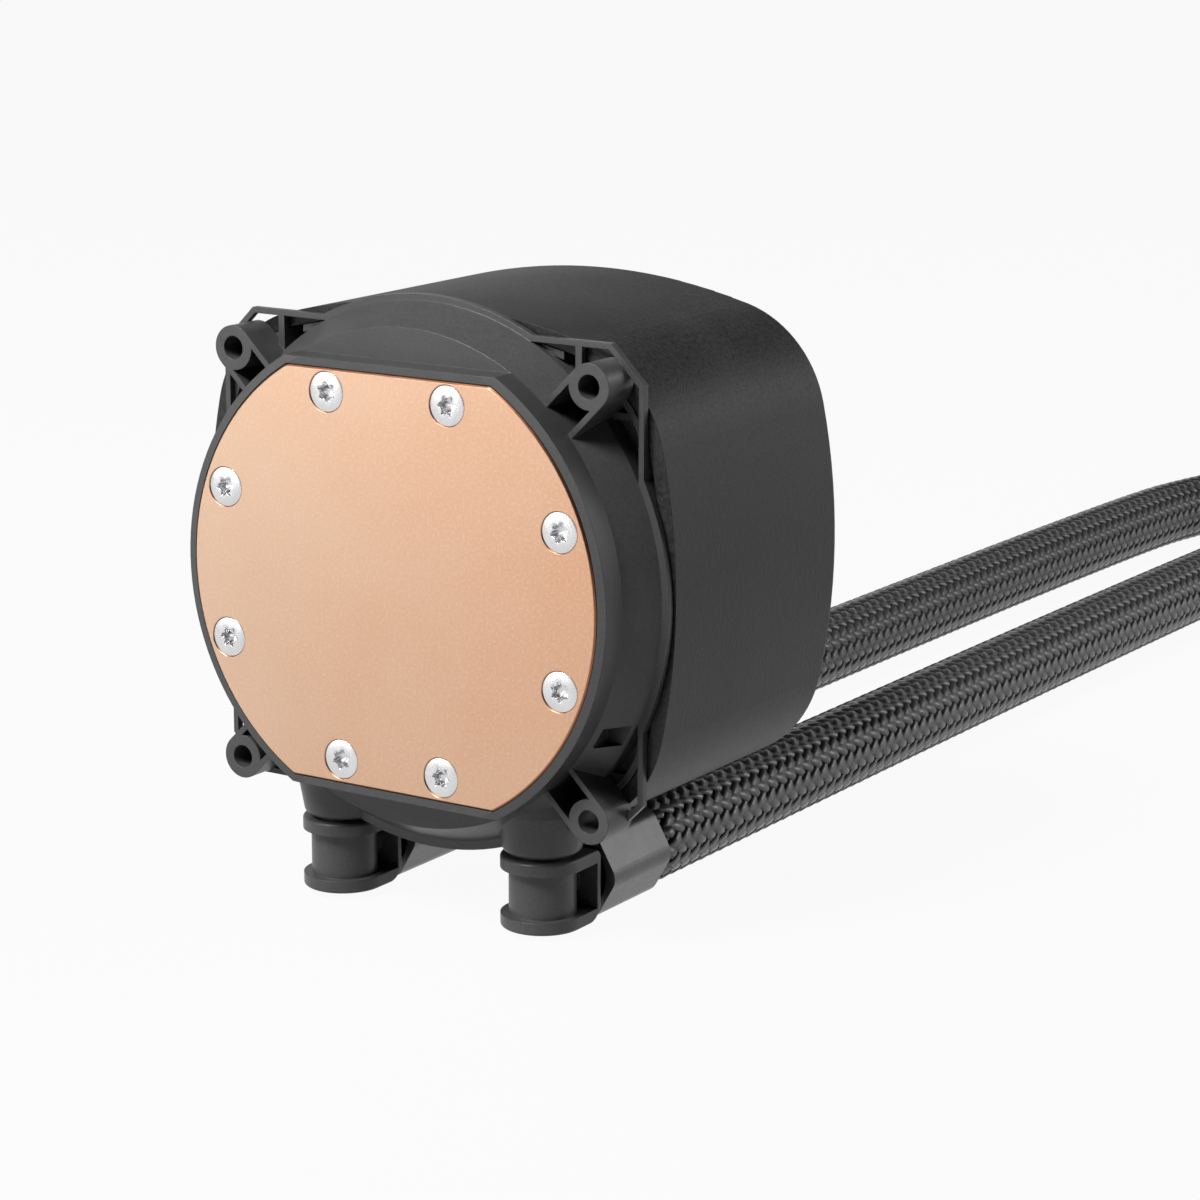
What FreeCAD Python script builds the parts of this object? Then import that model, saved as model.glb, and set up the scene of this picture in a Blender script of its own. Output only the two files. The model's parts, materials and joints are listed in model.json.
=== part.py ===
import FreeCAD, Part
import math
import os
from FreeCAD import Vector

# All in one processor cooler: the pump head with its two braided hoses.
# The origin is the middle of the cold plate's contact face.
# +X is right and +Z is up, as the head stands in use.
# +Y runs from the contact face along the pump's axis to the closed end of the cover.
# All sizes are in millimetres.

# Shared clearances
fit_gap = 0.1
seal_gap = 0.05
running_gap = 0.05
boolean_margin = 1.0
touch = 0.001

# Cold plate
plate_radius = 32.5
flat_cut = 4.4
plate_thickness = 3.0
plate_corner = 1.2
plate_edge = 0.25
fin_count = 23
fin_thickness = 0.45
fin_height = 3.0
fin_reach = 0.7075

# Cold plate screws
screw_radius = 1.45
screw_length = 8.6
head_radius = 2.7
head_height = 1.45
head_sink = 0.08
countersink_gap = 0.12
recess_outer = 1.37
recess_inner = 0.98
recess_lobes = 6
recess_tip = 0.3
recess_depth = 1.1
side_screw_inset = 3.57
side_screw_angle = 21.1
top_screw_inset = 3.1
top_screw_spread = 9.7
bottom_screw_inset = 3.3
bottom_screw_spread = 8.2

# Plate seal
seal_inset = 8.9
seal_width = 1.6
seal_height = 1.0

# Front boss of the pump base, round the cold plate
rim_wall = 1.2
rim_setback = 0.25
rim_bevel = 0.25
flat_wall = 1.1
boss_depth = 4.25
cone_run = 4.85
cone_rise = 2.9
ring_wall = 1.05
ring_drop = 0.2
ring_depth = 1.0

# Square frame behind the boss
frame_inset = 2.8
frame_top_drop = 0.35
frame_bottom_rise = 2.0
frame_wall = 0.8
frame_corner = 5.0
frame_rib = 1.0
well_depth = 2.9
floor_thickness = 1.2
plug_wall = 0.95
frame_rib_place = 24.0
side_rib_drop = 1.6
window_width = 2.4

# Mounting ears
ear_inset = 5.3
ear_hole = 1.6
ear_wall = 1.45
ear_web = 0.8
ear_height = 4.7

# Clip pockets in the cone
pocket_height = 2.8
pocket_depth = 3.4
pocket_centre = 17.4
pocket_width = 3.5
pocket_front = 0.9

# Water way in the pump base
hub_rim = 5.5
hub_room = 3.5
hub_depth = 6.9
fin_room_wall = 1.6
fin_clearance = 0.2
jet_inset = 3.2
jet_thickness = 1.0
jet_slot_inset = 7.0
jet_slot_width = 1.6
throat_radius = 6.0
chamber_radius = 15.0
chamber_depth = 6.0
passage_radius = 2.6
passage_end = 0.3
outlet_place = 6.0

# Cover
cover_side_step = 0.35
cover_top_drop = 1.8
cover_bottom_rise = 3.6
cover_side_radius = 90.0
cover_corner_radius = 17.0
cover_wall = 2.0
cover_gap = 0.2
cover_length = 42.4
cover_rear_edge = 1.2
cap_inset = 4.0
cap_ledge = 1.6
cap_thickness = 1.0

# Cable grommet
grommet_height = 8.0
grommet_length = 4.0
grommet_lip = 0.5
grommet_bore = 1.4
grommet_centre = -14.0

# Rotor
shaft_radius = 1.5
shaft_seat = 0.8
bush_wall = 1.6
bush_length = 2.4
holder_wall = 1.2
holder_arms = 3
holder_arm_width = 1.6
impeller_radius = 13.4
impeller_disc = 1.2
impeller_hub = 4.2
blade_count = 6
blade_height = 2.9
blade_thickness = 1.0
blade_curve = 9.0
blade_root = 0.5
magnet_radius = 9.6
magnet_length = 13.0
sleeve_wall = 1.2
rotor_gap = 0.5
rotor_end_gap = 0.4

# Rotor can and stator
can_wall = 0.9
can_flange = 1.3
collar_wall = 1.6
collar_height = 3.0
can_screw_count = 6
can_screw_radius = 1.1
can_screw_head = 2.0
can_screw_head_height = 1.4
can_screw_length = 5.0
core_wall = 3.0
core_length = 10.0
tooth_count = 6
tooth_width = 4.0
tooth_shoe = 1.2
shoe_slot = 1.6
core_gap = 0.4
coil_build = 2.4
coil_gap = 0.3
spacer_height = 3.2
board_thickness = 1.6
board_inset = 0.5
board_clearance = 1.0
chip_size = 5.0
chip_height = 1.2
plug_size = (9.0, 5.0, 4.4)
capacitor_radius = 2.0
capacitor_height = 4.5
capacitor_angles = (150, 180, 210)

# Hose swivels
port_spread = 16.6
port_depth = 11.5
neck_radius = 6.4
neck_tip = 5.3
neck_top = 24.0
neck_taper = 6.0
neck_round = 1.1
neck_end_rise = 1.45
neck_notch_gap = 0.3
socket_radius = 4.0
socket_depth = 9.5
swivel_gap = 0.3
swivel_flange = 5.7
swivel_flange_height = 1.8
swivel_barrel = 4.57
swivel_height = 10.0
swivel_back = 5.8
swivel_web = 1.0
swivel_top_corner = 1.2
swivel_low_corner = 2.6
swivel_edge = 0.4
swivel_bore = 2.4
tail_lead = 1.0
bore_foot = 0.4
stub_radius = 2.85
stub_bore = 1.9
ring_section = 1.1
ring_bevel = 0.28
seal_top_land = 1.05
ring_pitch = 3.0
clip_height = 0.6
clip_bite = 0.5
clip_opening = 3.0

# Hoses and their crimped sleeves
hose_radius = 6.1
hose_bore = 3.5
hose_axis_drop = 4.8
sleeve_start = 7.6
crimp_length = 14.3
crimp_wall = 0.9
crimp_fillet = 2.5
tail_radius = 3.35
barb_rise = 0.12
barb_length = 1.6
barb_count = 2
barb_pitch = 4.0
end_stub_radius = 4.3
end_stub_length = 9.0
end_collar_length = 2.4
end_stub_bore = 1.9
end_stub_bevel = 0.6
neck_start = 1.0

# Hose routes seen from above, from the crimped sleeve to the far end
# Both run straight for the stretch that can be seen, then bend gently to the right
straight_run = 228.6
right_bends = [(46.0, 10.0), (44.0, 14.0), (41.0, 12.0)]
left_bends = [(45.0, 9.0), (43.0, 14.5), (40.0, 10.5)]
tangent_share = 0.45

# Places that follow from the sizes above
plate_flat = plate_radius - flat_cut
seal_radius = plate_radius - seal_inset
fin_room = seal_radius - seal_width / 2.0 - fin_room_wall
fin_length = 2 * fin_room * fin_reach
fin_pitch = fin_length / (fin_count + 1)
jet_radius = fin_room - jet_inset
jet_slot_length = 2 * (jet_radius - jet_slot_inset)
boss_radius = plate_radius + fit_gap + rim_wall
boss_flat = plate_flat + fit_gap + flat_wall
ring_inner = boss_radius + cone_rise
ring_radius = ring_inner + ring_wall
ring_front = boss_depth + cone_run
neck_end = ring_radius - neck_end_rise
frame_half_width = ring_inner - frame_inset
frame_top = frame_half_width - frame_top_drop
frame_bottom = frame_half_width - frame_bottom_rise
cover_half_width = ring_radius + cover_side_step
cover_top = cover_half_width - cover_top_drop
cover_bottom = cover_half_width - cover_bottom_rise
ring_back = ring_front + ring_depth
floor_front = ring_front + well_depth
plug_back = floor_front + floor_thickness
plug_inset = cover_wall + fit_gap
grommet_reach = cover_half_width - cover_wall - grommet_lip - grommet_height / 2.0
sleeve_radius = magnet_radius + sleeve_wall
can_bore = sleeve_radius + rotor_gap
can_radius = can_bore + can_wall
tooth_tip = can_radius + core_gap
hub_radius = cover_bottom - cover_wall - hub_room
core_radius = hub_radius - hub_rim
board_radius = core_radius - board_inset
hub_back = ring_back + hub_depth
ear_radius = ear_hole + ear_wall
ear_front = ring_front - ear_height
ear_place = frame_half_width - ear_inset
fin_room_back = plate_thickness + fin_height + fin_clearance
jet_back = fin_room_back + jet_thickness
chamber_front = hub_back - chamber_depth
cover_front = ring_back + cover_gap
cover_back = cover_front + cover_length
cover_middle = (cover_top - cover_bottom) / 2.0
cover_half_height = (cover_top + cover_bottom) / 2.0
flange_back = hub_back + can_flange
shaft_front = jet_back + shaft_seat
bush_radius = shaft_radius + running_gap + bush_wall
impeller_back = hub_back - rotor_end_gap
magnet_front = impeller_back + sleeve_wall
magnet_back = magnet_front + magnet_length
shaft_back = magnet_back + rotor_end_gap + bush_length
can_back = shaft_back + rotor_end_gap + can_wall
core_front = flange_back + collar_height
core_back = core_front + core_length
board_front = core_back + spacer_height
board_back = board_front + board_thickness
can_screw_circle = (core_radius + hub_radius) / 2.0
swivel_top = -(neck_end + swivel_gap)
swivel_bottom = swivel_top - swivel_height
hose_height = swivel_top - hose_axis_drop
sleeve_front = port_depth + sleeve_start
hose_front = sleeve_front + crimp_length
spigot_radius = socket_radius - running_gap


def box(x0, x1, y0, y1, z0, z1):
    """Return a block between three pairs of limits."""
    return Part.makeBox(x1 - x0, y1 - y0, z1 - z0, Vector(x0, y0, z0))


def disc(radius, y0, y1, x=0.0, z=0.0):
    """Return a cylinder along Y."""
    return Part.makeCylinder(radius, y1 - y0, Vector(x, y0, z), Vector(0, 1, 0))


def post(radius, z0, z1, x, y):
    """Return a cylinder along Z."""
    return Part.makeCylinder(radius, z1 - z0, Vector(x, y, z0), Vector(0, 0, 1))


def tube(outer, inner, y0, y1):
    """Return a ring with straight walls about the pump's axis."""
    return disc(outer, y0, y1).cut(disc(inner, y0 - boolean_margin, y1 + boolean_margin))


def turned(profile):
    """Return the solid that a closed profile of (radius, y) points sweeps about the pump's axis."""
    points = [Vector(radius, y, 0) for radius, y in profile]
    face = Part.Face(Part.makePolygon(points + points[:1]))
    return face.revolve(Vector(0, 0, 0), Vector(0, 1, 0), 360)


def turned_upright(profile, x, y):
    """Return the solid that a closed profile of (radius, z) points sweeps about an upright axis."""
    points = [Vector(x + radius, y, z) for radius, z in profile]
    face = Part.Face(Part.makePolygon(points + points[:1]))
    return face.revolve(Vector(x, y, 0), Vector(0, 0, 1), 360)


def prism(outline, y0, y1):
    """Return the solid that a closed outline of (x, z) points makes between two depths."""
    points = [Vector(x, y0, z) for x, z in outline]
    face = Part.Face(Part.makePolygon(points + points[:1]))
    return face.extrude(Vector(0, y1 - y0, 0))


def joined(shapes):
    """Return one solid from touching or crossing ones."""
    return shapes[0].multiFuse(shapes[1:]).removeSplitter()


def group(shapes):
    """Return separate solids as one shape."""
    return Part.makeCompound(shapes)


def turn(shape, degrees):
    """Return a copy turned about the pump's axis."""
    copy = shape.copy()
    copy.rotate(Vector(0, 0, 0), Vector(0, 1, 0), degrees)
    return copy


def mirrored(shape):
    """Return the copy on the other side of the upright middle plane."""
    return shape.mirror(Vector(0, 0, 0), Vector(1, 0, 0))


def plate_outline(radius, flat, y0, y1):
    """Return a disc with a flat cut above and below."""
    width = radius + boolean_margin
    return disc(radius, y0, y1).common(box(-width, width, y0, y1, -flat, flat))


def plate_screw_sites():
    """Return the (x, z) centres of the screws in the cold plate."""
    radius = plate_radius - side_screw_inset
    side_x = radius * math.cos(math.radians(side_screw_angle))
    side_z = radius * math.sin(math.radians(side_screw_angle))
    top_z = plate_flat - top_screw_inset
    bottom_z = plate_flat - bottom_screw_inset
    sites = []
    for side in (-1, 1):
        sites.append((side * side_x, side_z))
        sites.append((side * side_x, -side_z))
        sites.append((side * top_screw_spread, top_z))
        sites.append((side * bottom_screw_spread, -bottom_z))
    return sites


def cold_plate():
    """Copper plate with two flats, eight countersunk holes and skived fins behind."""
    plate = plate_outline(plate_radius, plate_flat, 0, plate_thickness)
    corners = [edge for edge in plate.Edges if is_corner(edge, plate_flat)]
    plate = plate.makeFillet(plate_corner, corners)
    front = [edge for edge in plate.Edges if edge.BoundBox.YMax < plate_edge / 2]
    plate = plate.makeChamfer(plate_edge, front)
    fins = []
    for index in range(fin_count):
        z = (index - (fin_count - 1) / 2.0) * fin_pitch
        back = plate_thickness + fin_height
        half = fin_length / 2.0
        fins.append(box(-half, half, plate_thickness, back, z - fin_thickness / 2, z + fin_thickness / 2))
    plate = joined([plate] + fins)
    holes = []
    wide = head_radius + countersink_gap
    narrow = screw_radius + fit_gap
    sink = head_height + head_sink
    for x, z in plate_screw_sites():
        holes.append(disc(narrow, -boolean_margin, plate_thickness + boolean_margin, x, z))
        holes.append(Part.makeCone(wide, narrow, sink, Vector(x, 0, z), Vector(0, 1, 0)))
    return plate.cut(group(holes))


def is_corner(edge, height):
    """Tell whether an edge runs along Y at one of the flats' ends."""
    bounds = edge.BoundBox
    return bounds.XLength < touch and abs(abs(bounds.ZMin) - height) < touch and bounds.YLength > touch


def lobed_recess(x, z, y0, depth):
    """Return the lobed driver recess of one screw.

    Each lobe's blunt tip reaches recess_tip of the way to the valley on both sides.
    """
    outline = []
    step = math.pi / recess_lobes
    for index in range(recess_lobes):
        middle = 2 * step * index
        for offset, radius in ((-recess_tip, recess_outer), (recess_tip, recess_outer), (1.0, recess_inner)):
            angle = middle + offset * step
            outline.append((x + radius * math.cos(angle), z + radius * math.sin(angle)))
    return prism(outline, y0, y0 + depth)


def plate_screws():
    """Eight countersunk screws that hold the cold plate to the pump base."""
    screws = []
    for x, z in plate_screw_sites():
        head = Part.makeCone(head_radius, screw_radius, head_height, Vector(x, head_sink, z), Vector(0, 1, 0))
        shank = disc(screw_radius, head_sink + head_height, screw_length, x, z)
        recess = lobed_recess(x, z, head_sink - boolean_margin, recess_depth + boolean_margin)
        screws.append(joined([head, shank]).cut(recess))
    return group(screws)


def plate_seal():
    """Flat rubber ring between the cold plate and the pump base."""
    half = seal_width / 2.0
    return tube(seal_radius + half, seal_radius - half, plate_thickness, plate_thickness + seal_height)


def jet_plate():
    """Thin plate that spreads the coolant over the middle of the fins."""
    plate = disc(jet_radius, fin_room_back, jet_back)
    half = jet_slot_length / 2.0
    slot = box(-jet_slot_width / 2, jet_slot_width / 2, fin_room_back - boolean_margin,
               jet_back + boolean_margin, -half, half)
    return plate.cut(slot)


def frame_outline(inset):
    """Return the outline of the square frame, drawn in by an inset."""
    half = frame_half_width - inset
    top = frame_top - inset
    bottom = frame_bottom - inset
    cut = frame_corner - inset * (2.0 - math.sqrt(2.0))
    return [(half, top - cut), (half - cut, top), (cut - half, top), (-half, top - cut),
            (-half, cut - bottom), (cut - half, -bottom), (half - cut, -bottom), (half, cut - bottom)]


def in_mouth(shape):
    """Return the stretch of a shape that lies behind the ring, cut to fit the cover's mouth."""
    return shape.common(cover_prism(plug_inset, ring_back, plug_back))


def ear_block(y0, y1, angle):
    """Return the round-ended block of one ear between two depths."""
    root = boss_radius - rim_wall
    reach = ear_place * math.sqrt(2.0)
    slab = box(root, reach, y0, y1, -ear_radius, ear_radius)
    return turn(joined([slab, disc(ear_radius, y0, y1, reach, 0)]), angle)


def ear(angle):
    """Return the added and the removed solid of one ear, by its angle below the +X side."""
    behind = in_mouth(ear_block(ring_back, plug_back, angle))
    added = joined([ear_block(ear_front, ring_back, angle), behind])
    root = boss_radius - rim_wall
    reach = ear_place * math.sqrt(2.0)
    inner = ear_radius - ear_web
    pocket = box(root - boolean_margin, reach, ear_front - boolean_margin, floor_front, -inner, inner)
    pocket = pocket.cut(disc(ear_radius, ear_front - 2 * boolean_margin, ring_back, reach, 0))
    pocket = pocket.cut(disc(boss_radius, ear_front - 2 * boolean_margin, plug_back))
    hole = disc(ear_hole, ear_front - boolean_margin, ring_back, reach, 0)
    return added, turn(joined([pocket, hole]), angle)


def frame_band():
    """Return the frame and ring as one full band, with the plug behind it that fits the cover."""
    rim = prism(frame_outline(0), ring_front, ring_back)
    ring = disc(ring_radius, ring_front, ring_back, 0, -ring_drop)
    behind = prism(frame_outline(0), ring_back, plug_back)
    plug = joined([behind, disc(ring_radius, ring_back, plug_back, 0, -ring_drop)])
    return joined([rim, ring, in_mouth(plug)])


def frame_wells():
    """Return the pockets inside the frame's corners: open outside the cover, floored inside it."""
    outline = frame_outline(frame_wall)
    front = ring_front - boolean_margin
    wells = prism(outline, front, floor_front)
    seat = cover_prism(plug_inset, ring_back, plug_back)
    seat = seat.cut(cover_prism(plug_inset + plug_wall, ring_back, plug_back))
    return wells.cut(seat).cut(disc(ring_inner, front - boolean_margin, plug_back))


def frame_ribs():
    """Return the ribs across the frame's pockets."""
    ribs = []
    half = frame_rib / 2.0
    top = frame_top - frame_wall / 2.0
    low = frame_wall / 2.0 - frame_bottom
    for side in (-1, 1):
        x = side * frame_rib_place
        ribs.append(box(x - half, x + half, ring_front, ring_back, low, top))
        ribs.append(in_mouth(box(x - half, x + half, ring_back, floor_front, low, top)))
        ends = sorted((0, side * frame_half_width))
        for height in (-frame_rib_place, frame_rib_place):
            front = ring_front + side_rib_drop
            ribs.append(in_mouth(box(ends[0], ends[1], front, floor_front, height - half, height + half)))
    return ribs


def frame_windows():
    """Return the small windows through the pocket floors beside the upper ribs."""
    windows = []
    far = frame_rib_place - frame_rib / 2.0
    for side in (-1, 1):
        limits = sorted((side * (far - window_width), side * far))
        window = box(limits[0], limits[1], ring_front, plug_back + boolean_margin,
                     frame_rib_place, frame_top - frame_wall)
        windows.append(window.cut(disc(ring_inner, 0, 2 * plug_back)))
    return windows


def neck():
    """Return the outer form of the port that the right hose swivel enters from below."""
    profile = [(0, -neck_top), (neck_radius, -neck_top), (neck_radius, neck_taper - neck_end),
               (neck_tip, -neck_end), (0, -neck_end)]
    form = turned_upright(profile, port_spread, port_depth)
    low = [edge for edge in form.Edges if edge.BoundBox.ZMax < touch - neck_end]
    return form.makeFillet(neck_round, low)


def neck_socket():
    """Return the stepped bore of the right port, with the groove of its clip."""
    x = port_spread
    y = port_depth
    socket = post(socket_radius, -neck_end - boolean_margin, -neck_end + socket_depth, x, y)
    passage = post(passage_radius, -neck_end, passage_height() + passage_end, x, y)
    clip_bottom = clip_level()
    groove = post(socket_radius + clip_bite, clip_bottom, clip_bottom + clip_height + fit_gap, x, y)
    return joined([socket, passage, groove])


def passage_height():
    """Return the height at which an upright passage ends, beside the fin room's edge."""
    reach = fin_room + passage_radius / 2.0
    return -math.sqrt(max(reach ** 2 - port_spread ** 2, 0)) + passage_radius


def clip_level():
    """Return the height of the lower face of the swivel clips."""
    return -neck_end + 2 * clip_height


def pump_base():
    """Moulded base: boss round the plate, flared cone, ring, framed ears, ports and hub."""
    body = turned([(0, rim_setback), (boss_radius - rim_wall, rim_setback),
                   (boss_radius, rim_setback + rim_bevel), (boss_radius, boss_depth),
                   (ring_inner, ring_front), (hub_radius, ring_back),
                   (hub_radius, hub_back), (0, hub_back)])
    above = ring_radius + boolean_margin
    for side in (-1, 1):
        limits = sorted((side * boss_flat, side * above))
        body = body.cut(box(-above, above, 0, boss_depth, limits[0], limits[1]))
    body = joined([body, frame_band()]).cut(frame_wells())
    added = frame_ribs()
    removed = frame_windows()
    for angle in (-45, 45, 135, 225):
        ear_added, ear_removed = ear(angle)
        added.append(ear_added)
        removed.append(ear_removed)
    port = neck()
    socket = neck_socket()
    added += [port, mirrored(port)]
    body = joined([body] + added)
    removed += [socket, mirrored(socket), clip_pocket(1), clip_pocket(-1)]
    removed += plate_rooms() + water_rooms() + [disc(hub_radius, hub_back, flange_back), grommet_notch()]
    for x, z in plate_screw_sites():
        removed.append(disc(screw_radius, plate_thickness - boolean_margin, screw_length, x, z))
    for x, z in can_screw_sites():
        depth = flange_back - can_screw_length
        removed.append(disc(can_screw_radius, depth, hub_back + boolean_margin, x, z))
    for shape in removed:
        body = body.cut(shape)
    return joined([body, bush_holder()])


def plate_rooms():
    """Return the recess for the cold plate and the groove for its seal."""
    room = plate_outline(plate_radius + fit_gap, plate_flat + fit_gap, -boolean_margin, plate_thickness)
    half = seal_width / 2.0 + seal_gap
    groove = tube(seal_radius + half, seal_radius - half, plate_thickness,
                  plate_thickness + seal_height)
    return [room, groove]


def water_rooms():
    """Return the rooms and passages that the coolant fills in the base."""
    return [disc(fin_room, plate_thickness - boolean_margin, fin_room_back),
            disc(jet_radius + fit_gap, fin_room_back - boolean_margin, jet_back),
            disc(throat_radius, jet_back - boolean_margin, hub_back),
            disc(chamber_radius, chamber_front, hub_back + boolean_margin),
            inlet_passage(),
            outlet_passage()]


def clip_pocket(side):
    """Return the pocket for a cover clip in the cone, low on one side."""
    outer = ring_inner
    inner = math.sqrt(max(ring_inner ** 2 - pocket_centre ** 2, 0)) - pocket_width
    limits = sorted((side * inner, side * outer))
    middle = -pocket_centre
    front = boss_depth + pocket_front
    return box(limits[0], limits[1], front, front + pocket_depth,
               middle - pocket_height / 2, middle + pocket_height / 2)


def grommet_notch():
    """Return the notch behind the ring that clears the cable grommet."""
    half = grommet_height / 2.0 + fit_gap
    return box(-cover_half_width, -grommet_reach, ring_back, plug_back + boolean_margin,
               grommet_centre - half, grommet_centre + half)


def inlet_passage():
    """Return the passage from the left port to the fin room."""
    height = passage_height() - passage_radius
    return disc(passage_radius, plate_thickness + seal_height, port_depth, -port_spread, height)


def outlet_passage():
    """Return the slanted passage from the right port to the impeller chamber."""
    start = Vector(port_spread, port_depth, passage_height() - passage_radius)
    end = Vector(outlet_place, hub_back - chamber_depth / 2, -outlet_place)
    way = end - start
    return Part.makeCylinder(passage_radius, way.Length, start, way)


def bush_holder():
    """Return the three-armed holder of the front bush, in the throat of the chamber."""
    outer = bush_radius + holder_wall
    back = shaft_front + bush_length
    half = holder_arm_width / 2.0
    holder = tube(outer, bush_radius, jet_back, back)
    floor = disc(outer, jet_back, shaft_front - fit_gap)
    arms = []
    for index in range(holder_arms):
        arm = box(outer - holder_wall / 2, throat_radius + holder_wall / 2, jet_back, chamber_front,
                  -half, half)
        arms.append(turn(arm, index * 360.0 / holder_arms))
    return joined([holder, floor] + arms)


def can_screw_sites():
    """Return the (x, z) centres of the screws that hold the rotor can."""
    sites = []
    for index in range(can_screw_count):
        angle = math.radians((index + 0.5) * 360.0 / can_screw_count)
        sites.append((can_screw_circle * math.cos(angle), can_screw_circle * math.sin(angle)))
    return sites


def bush(front):
    """Return a plain bearing bush of the shaft."""
    return tube(bush_radius, shaft_radius + running_gap, front, front + bush_length)


def impeller():
    """Backward-curved impeller with a hub and a sleeve that carries the magnet."""
    back = impeller_back
    disc_front = back - impeller_disc
    blade_front = disc_front - blade_height
    web = disc(impeller_radius, disc_front, back)
    hub = disc(impeller_hub, blade_front, back)
    blades = [turn(blade(blade_front, disc_front), index * 360.0 / blade_count)
              for index in range(blade_count)]
    end = magnet_back
    sleeve = disc(sleeve_radius, back, magnet_front)
    core = disc(impeller_hub, back, end)
    body = joined([web, hub, sleeve, core] + blades)
    return body.cut(disc(shaft_radius, blade_front - boolean_margin, end + boolean_margin))


def blade(y0, y1):
    """Return one curved blade from the hub to the rim."""
    middle_x = impeller_radius / 2.0
    middle_z = -math.sqrt(max(blade_curve ** 2 - middle_x ** 2, 1.0))
    ring = disc(blade_curve, y0, y1, middle_x, middle_z)
    ring = ring.cut(disc(blade_curve - blade_thickness, y0 - boolean_margin, y1 + boolean_margin,
                         middle_x, middle_z))
    upper = box(0, impeller_radius, y0, y1, -impeller_radius / 2, impeller_radius)
    rim = tube(impeller_radius, impeller_hub - blade_root, y0, y1)
    return largest(ring.common(upper).common(rim))


def largest(shape):
    """Return the biggest solid of a shape."""
    return max(shape.Solids, key=lambda solid: solid.Volume)


def rotor_magnet():
    """Ring magnet on the impeller's core."""
    return tube(magnet_radius, impeller_hub, magnet_front, magnet_back)


def rotor_shaft():
    """Polished shaft through the impeller and both bushes."""
    return disc(shaft_radius, shaft_front, shaft_back)


def rotor_can():
    """Flanged can that keeps the coolant round the rotor away from the stator."""
    flange = disc(hub_radius - fit_gap, hub_back, flange_back)
    cup = disc(can_radius, hub_back, can_back)
    collar = tube(core_radius, core_radius - collar_wall, flange_back, core_front)
    body = joined([flange, cup, collar])
    seat = can_back - can_wall - rotor_end_gap - bush_length
    room = disc(can_bore, hub_back - boolean_margin, can_back - can_wall)
    body = body.cut(room)
    holder = tube(bush_radius + holder_wall, bush_radius, seat, can_back)
    body = joined([body, holder])
    for x, z in can_screw_sites():
        body = body.cut(disc(can_screw_radius + fit_gap, hub_back - boolean_margin,
                             flange_back + boolean_margin, x, z))
    return body


def can_screws():
    """Pan head screws round the flange of the rotor can."""
    screws = []
    for x, z in can_screw_sites():
        shank = disc(can_screw_radius, flange_back - can_screw_length, flange_back, x, z)
        head = disc(can_screw_head, flange_back, flange_back + can_screw_head_height, x, z)
        slot = disc(can_screw_head / 2, flange_back + can_screw_head_height / 2,
                    flange_back + can_screw_head_height + boolean_margin, x, z)
        screws.append(joined([shank, head]).cut(slot))
    return group(screws)


def stator_core():
    """Laminated core with inward teeth round the rotor can."""
    back_ring = tube(core_radius, core_radius - core_wall, core_front, core_back)
    teeth = []
    for index in range(tooth_count):
        tooth = box(tooth_tip + tooth_shoe / 2, core_radius - core_wall / 2, core_front, core_back,
                    -tooth_width / 2, tooth_width / 2)
        teeth.append(turn(tooth, index * 360.0 / tooth_count))
    shoes = tube(tooth_tip + tooth_shoe, tooth_tip, core_front, core_back)
    slots = []
    for index in range(tooth_count):
        slot = box(0, tooth_tip + 2 * tooth_shoe, core_front - boolean_margin,
                   core_back + boolean_margin, -shoe_slot / 2, shoe_slot / 2)
        slots.append(turn(slot, (index + 0.5) * 360.0 / tooth_count))
    return joined([back_ring, shoes.cut(group(slots))] + teeth)


def stator_coils():
    """Copper windings, one round each tooth of the core."""
    coils = []
    inner = tooth_tip + tooth_shoe + coil_gap
    outer = core_radius - core_wall - coil_gap
    half = tooth_width / 2 + fit_gap
    winding = min(coil_build, collar_height - 2 * coil_gap, spacer_height - 2 * coil_gap)
    for index in range(tooth_count):
        body = box(inner, outer, core_front - winding, core_back + winding,
                   -half - winding, half + winding)
        hole = box(0, hub_radius, core_front - fit_gap, core_back + fit_gap, -half, half)
        room = disc(outer, core_front - coil_build, core_back + coil_build)
        room = room.common(neighbour_room(inner, outer))
        coils.append(turn(body.cut(hole).common(room), index * 360.0 / tooth_count))
    return group(coils)


def neighbour_room(inner, outer):
    """Return the wedge about one tooth that its winding may fill."""
    half_angle = math.radians(180.0 / tooth_count)
    spread = math.tan(half_angle)
    near = inner * spread - coil_gap / 2
    far = outer * spread - coil_gap / 2
    points = [(inner, -near), (outer, -far), (outer, far), (inner, near)]
    return prism(points, core_front - coil_build, core_back + coil_build)


def stator_spacer():
    """Moulded ring that holds the circuit board off the stator core."""
    return tube(core_radius, core_radius - collar_wall, core_back, board_front)


def circuit_board():
    """Ring-shaped board of the pump's motor driver."""
    return tube(board_radius, can_radius + board_clearance, board_front, board_back)


def board_parts():
    """Driver chip, connector and capacitors on the board."""
    middle = (board_radius + can_radius + board_clearance) / 2.0
    half = chip_size / 2.0
    chip = box(middle - half, middle + half, board_back, board_back + chip_height, -half, half)
    plug_width, plug_height, plug_depth = plug_size
    plug = box(-plug_width / 2, plug_width / 2, board_back, board_back + plug_height,
               -middle - plug_depth / 2, -middle + plug_depth / 2)
    parts = [chip, plug]
    for angle in capacitor_angles:
        capacitor = disc(capacitor_radius, board_back, board_back + capacitor_height, middle, 0)
        parts.append(turn(capacitor, angle))
    return group(parts)


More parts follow.
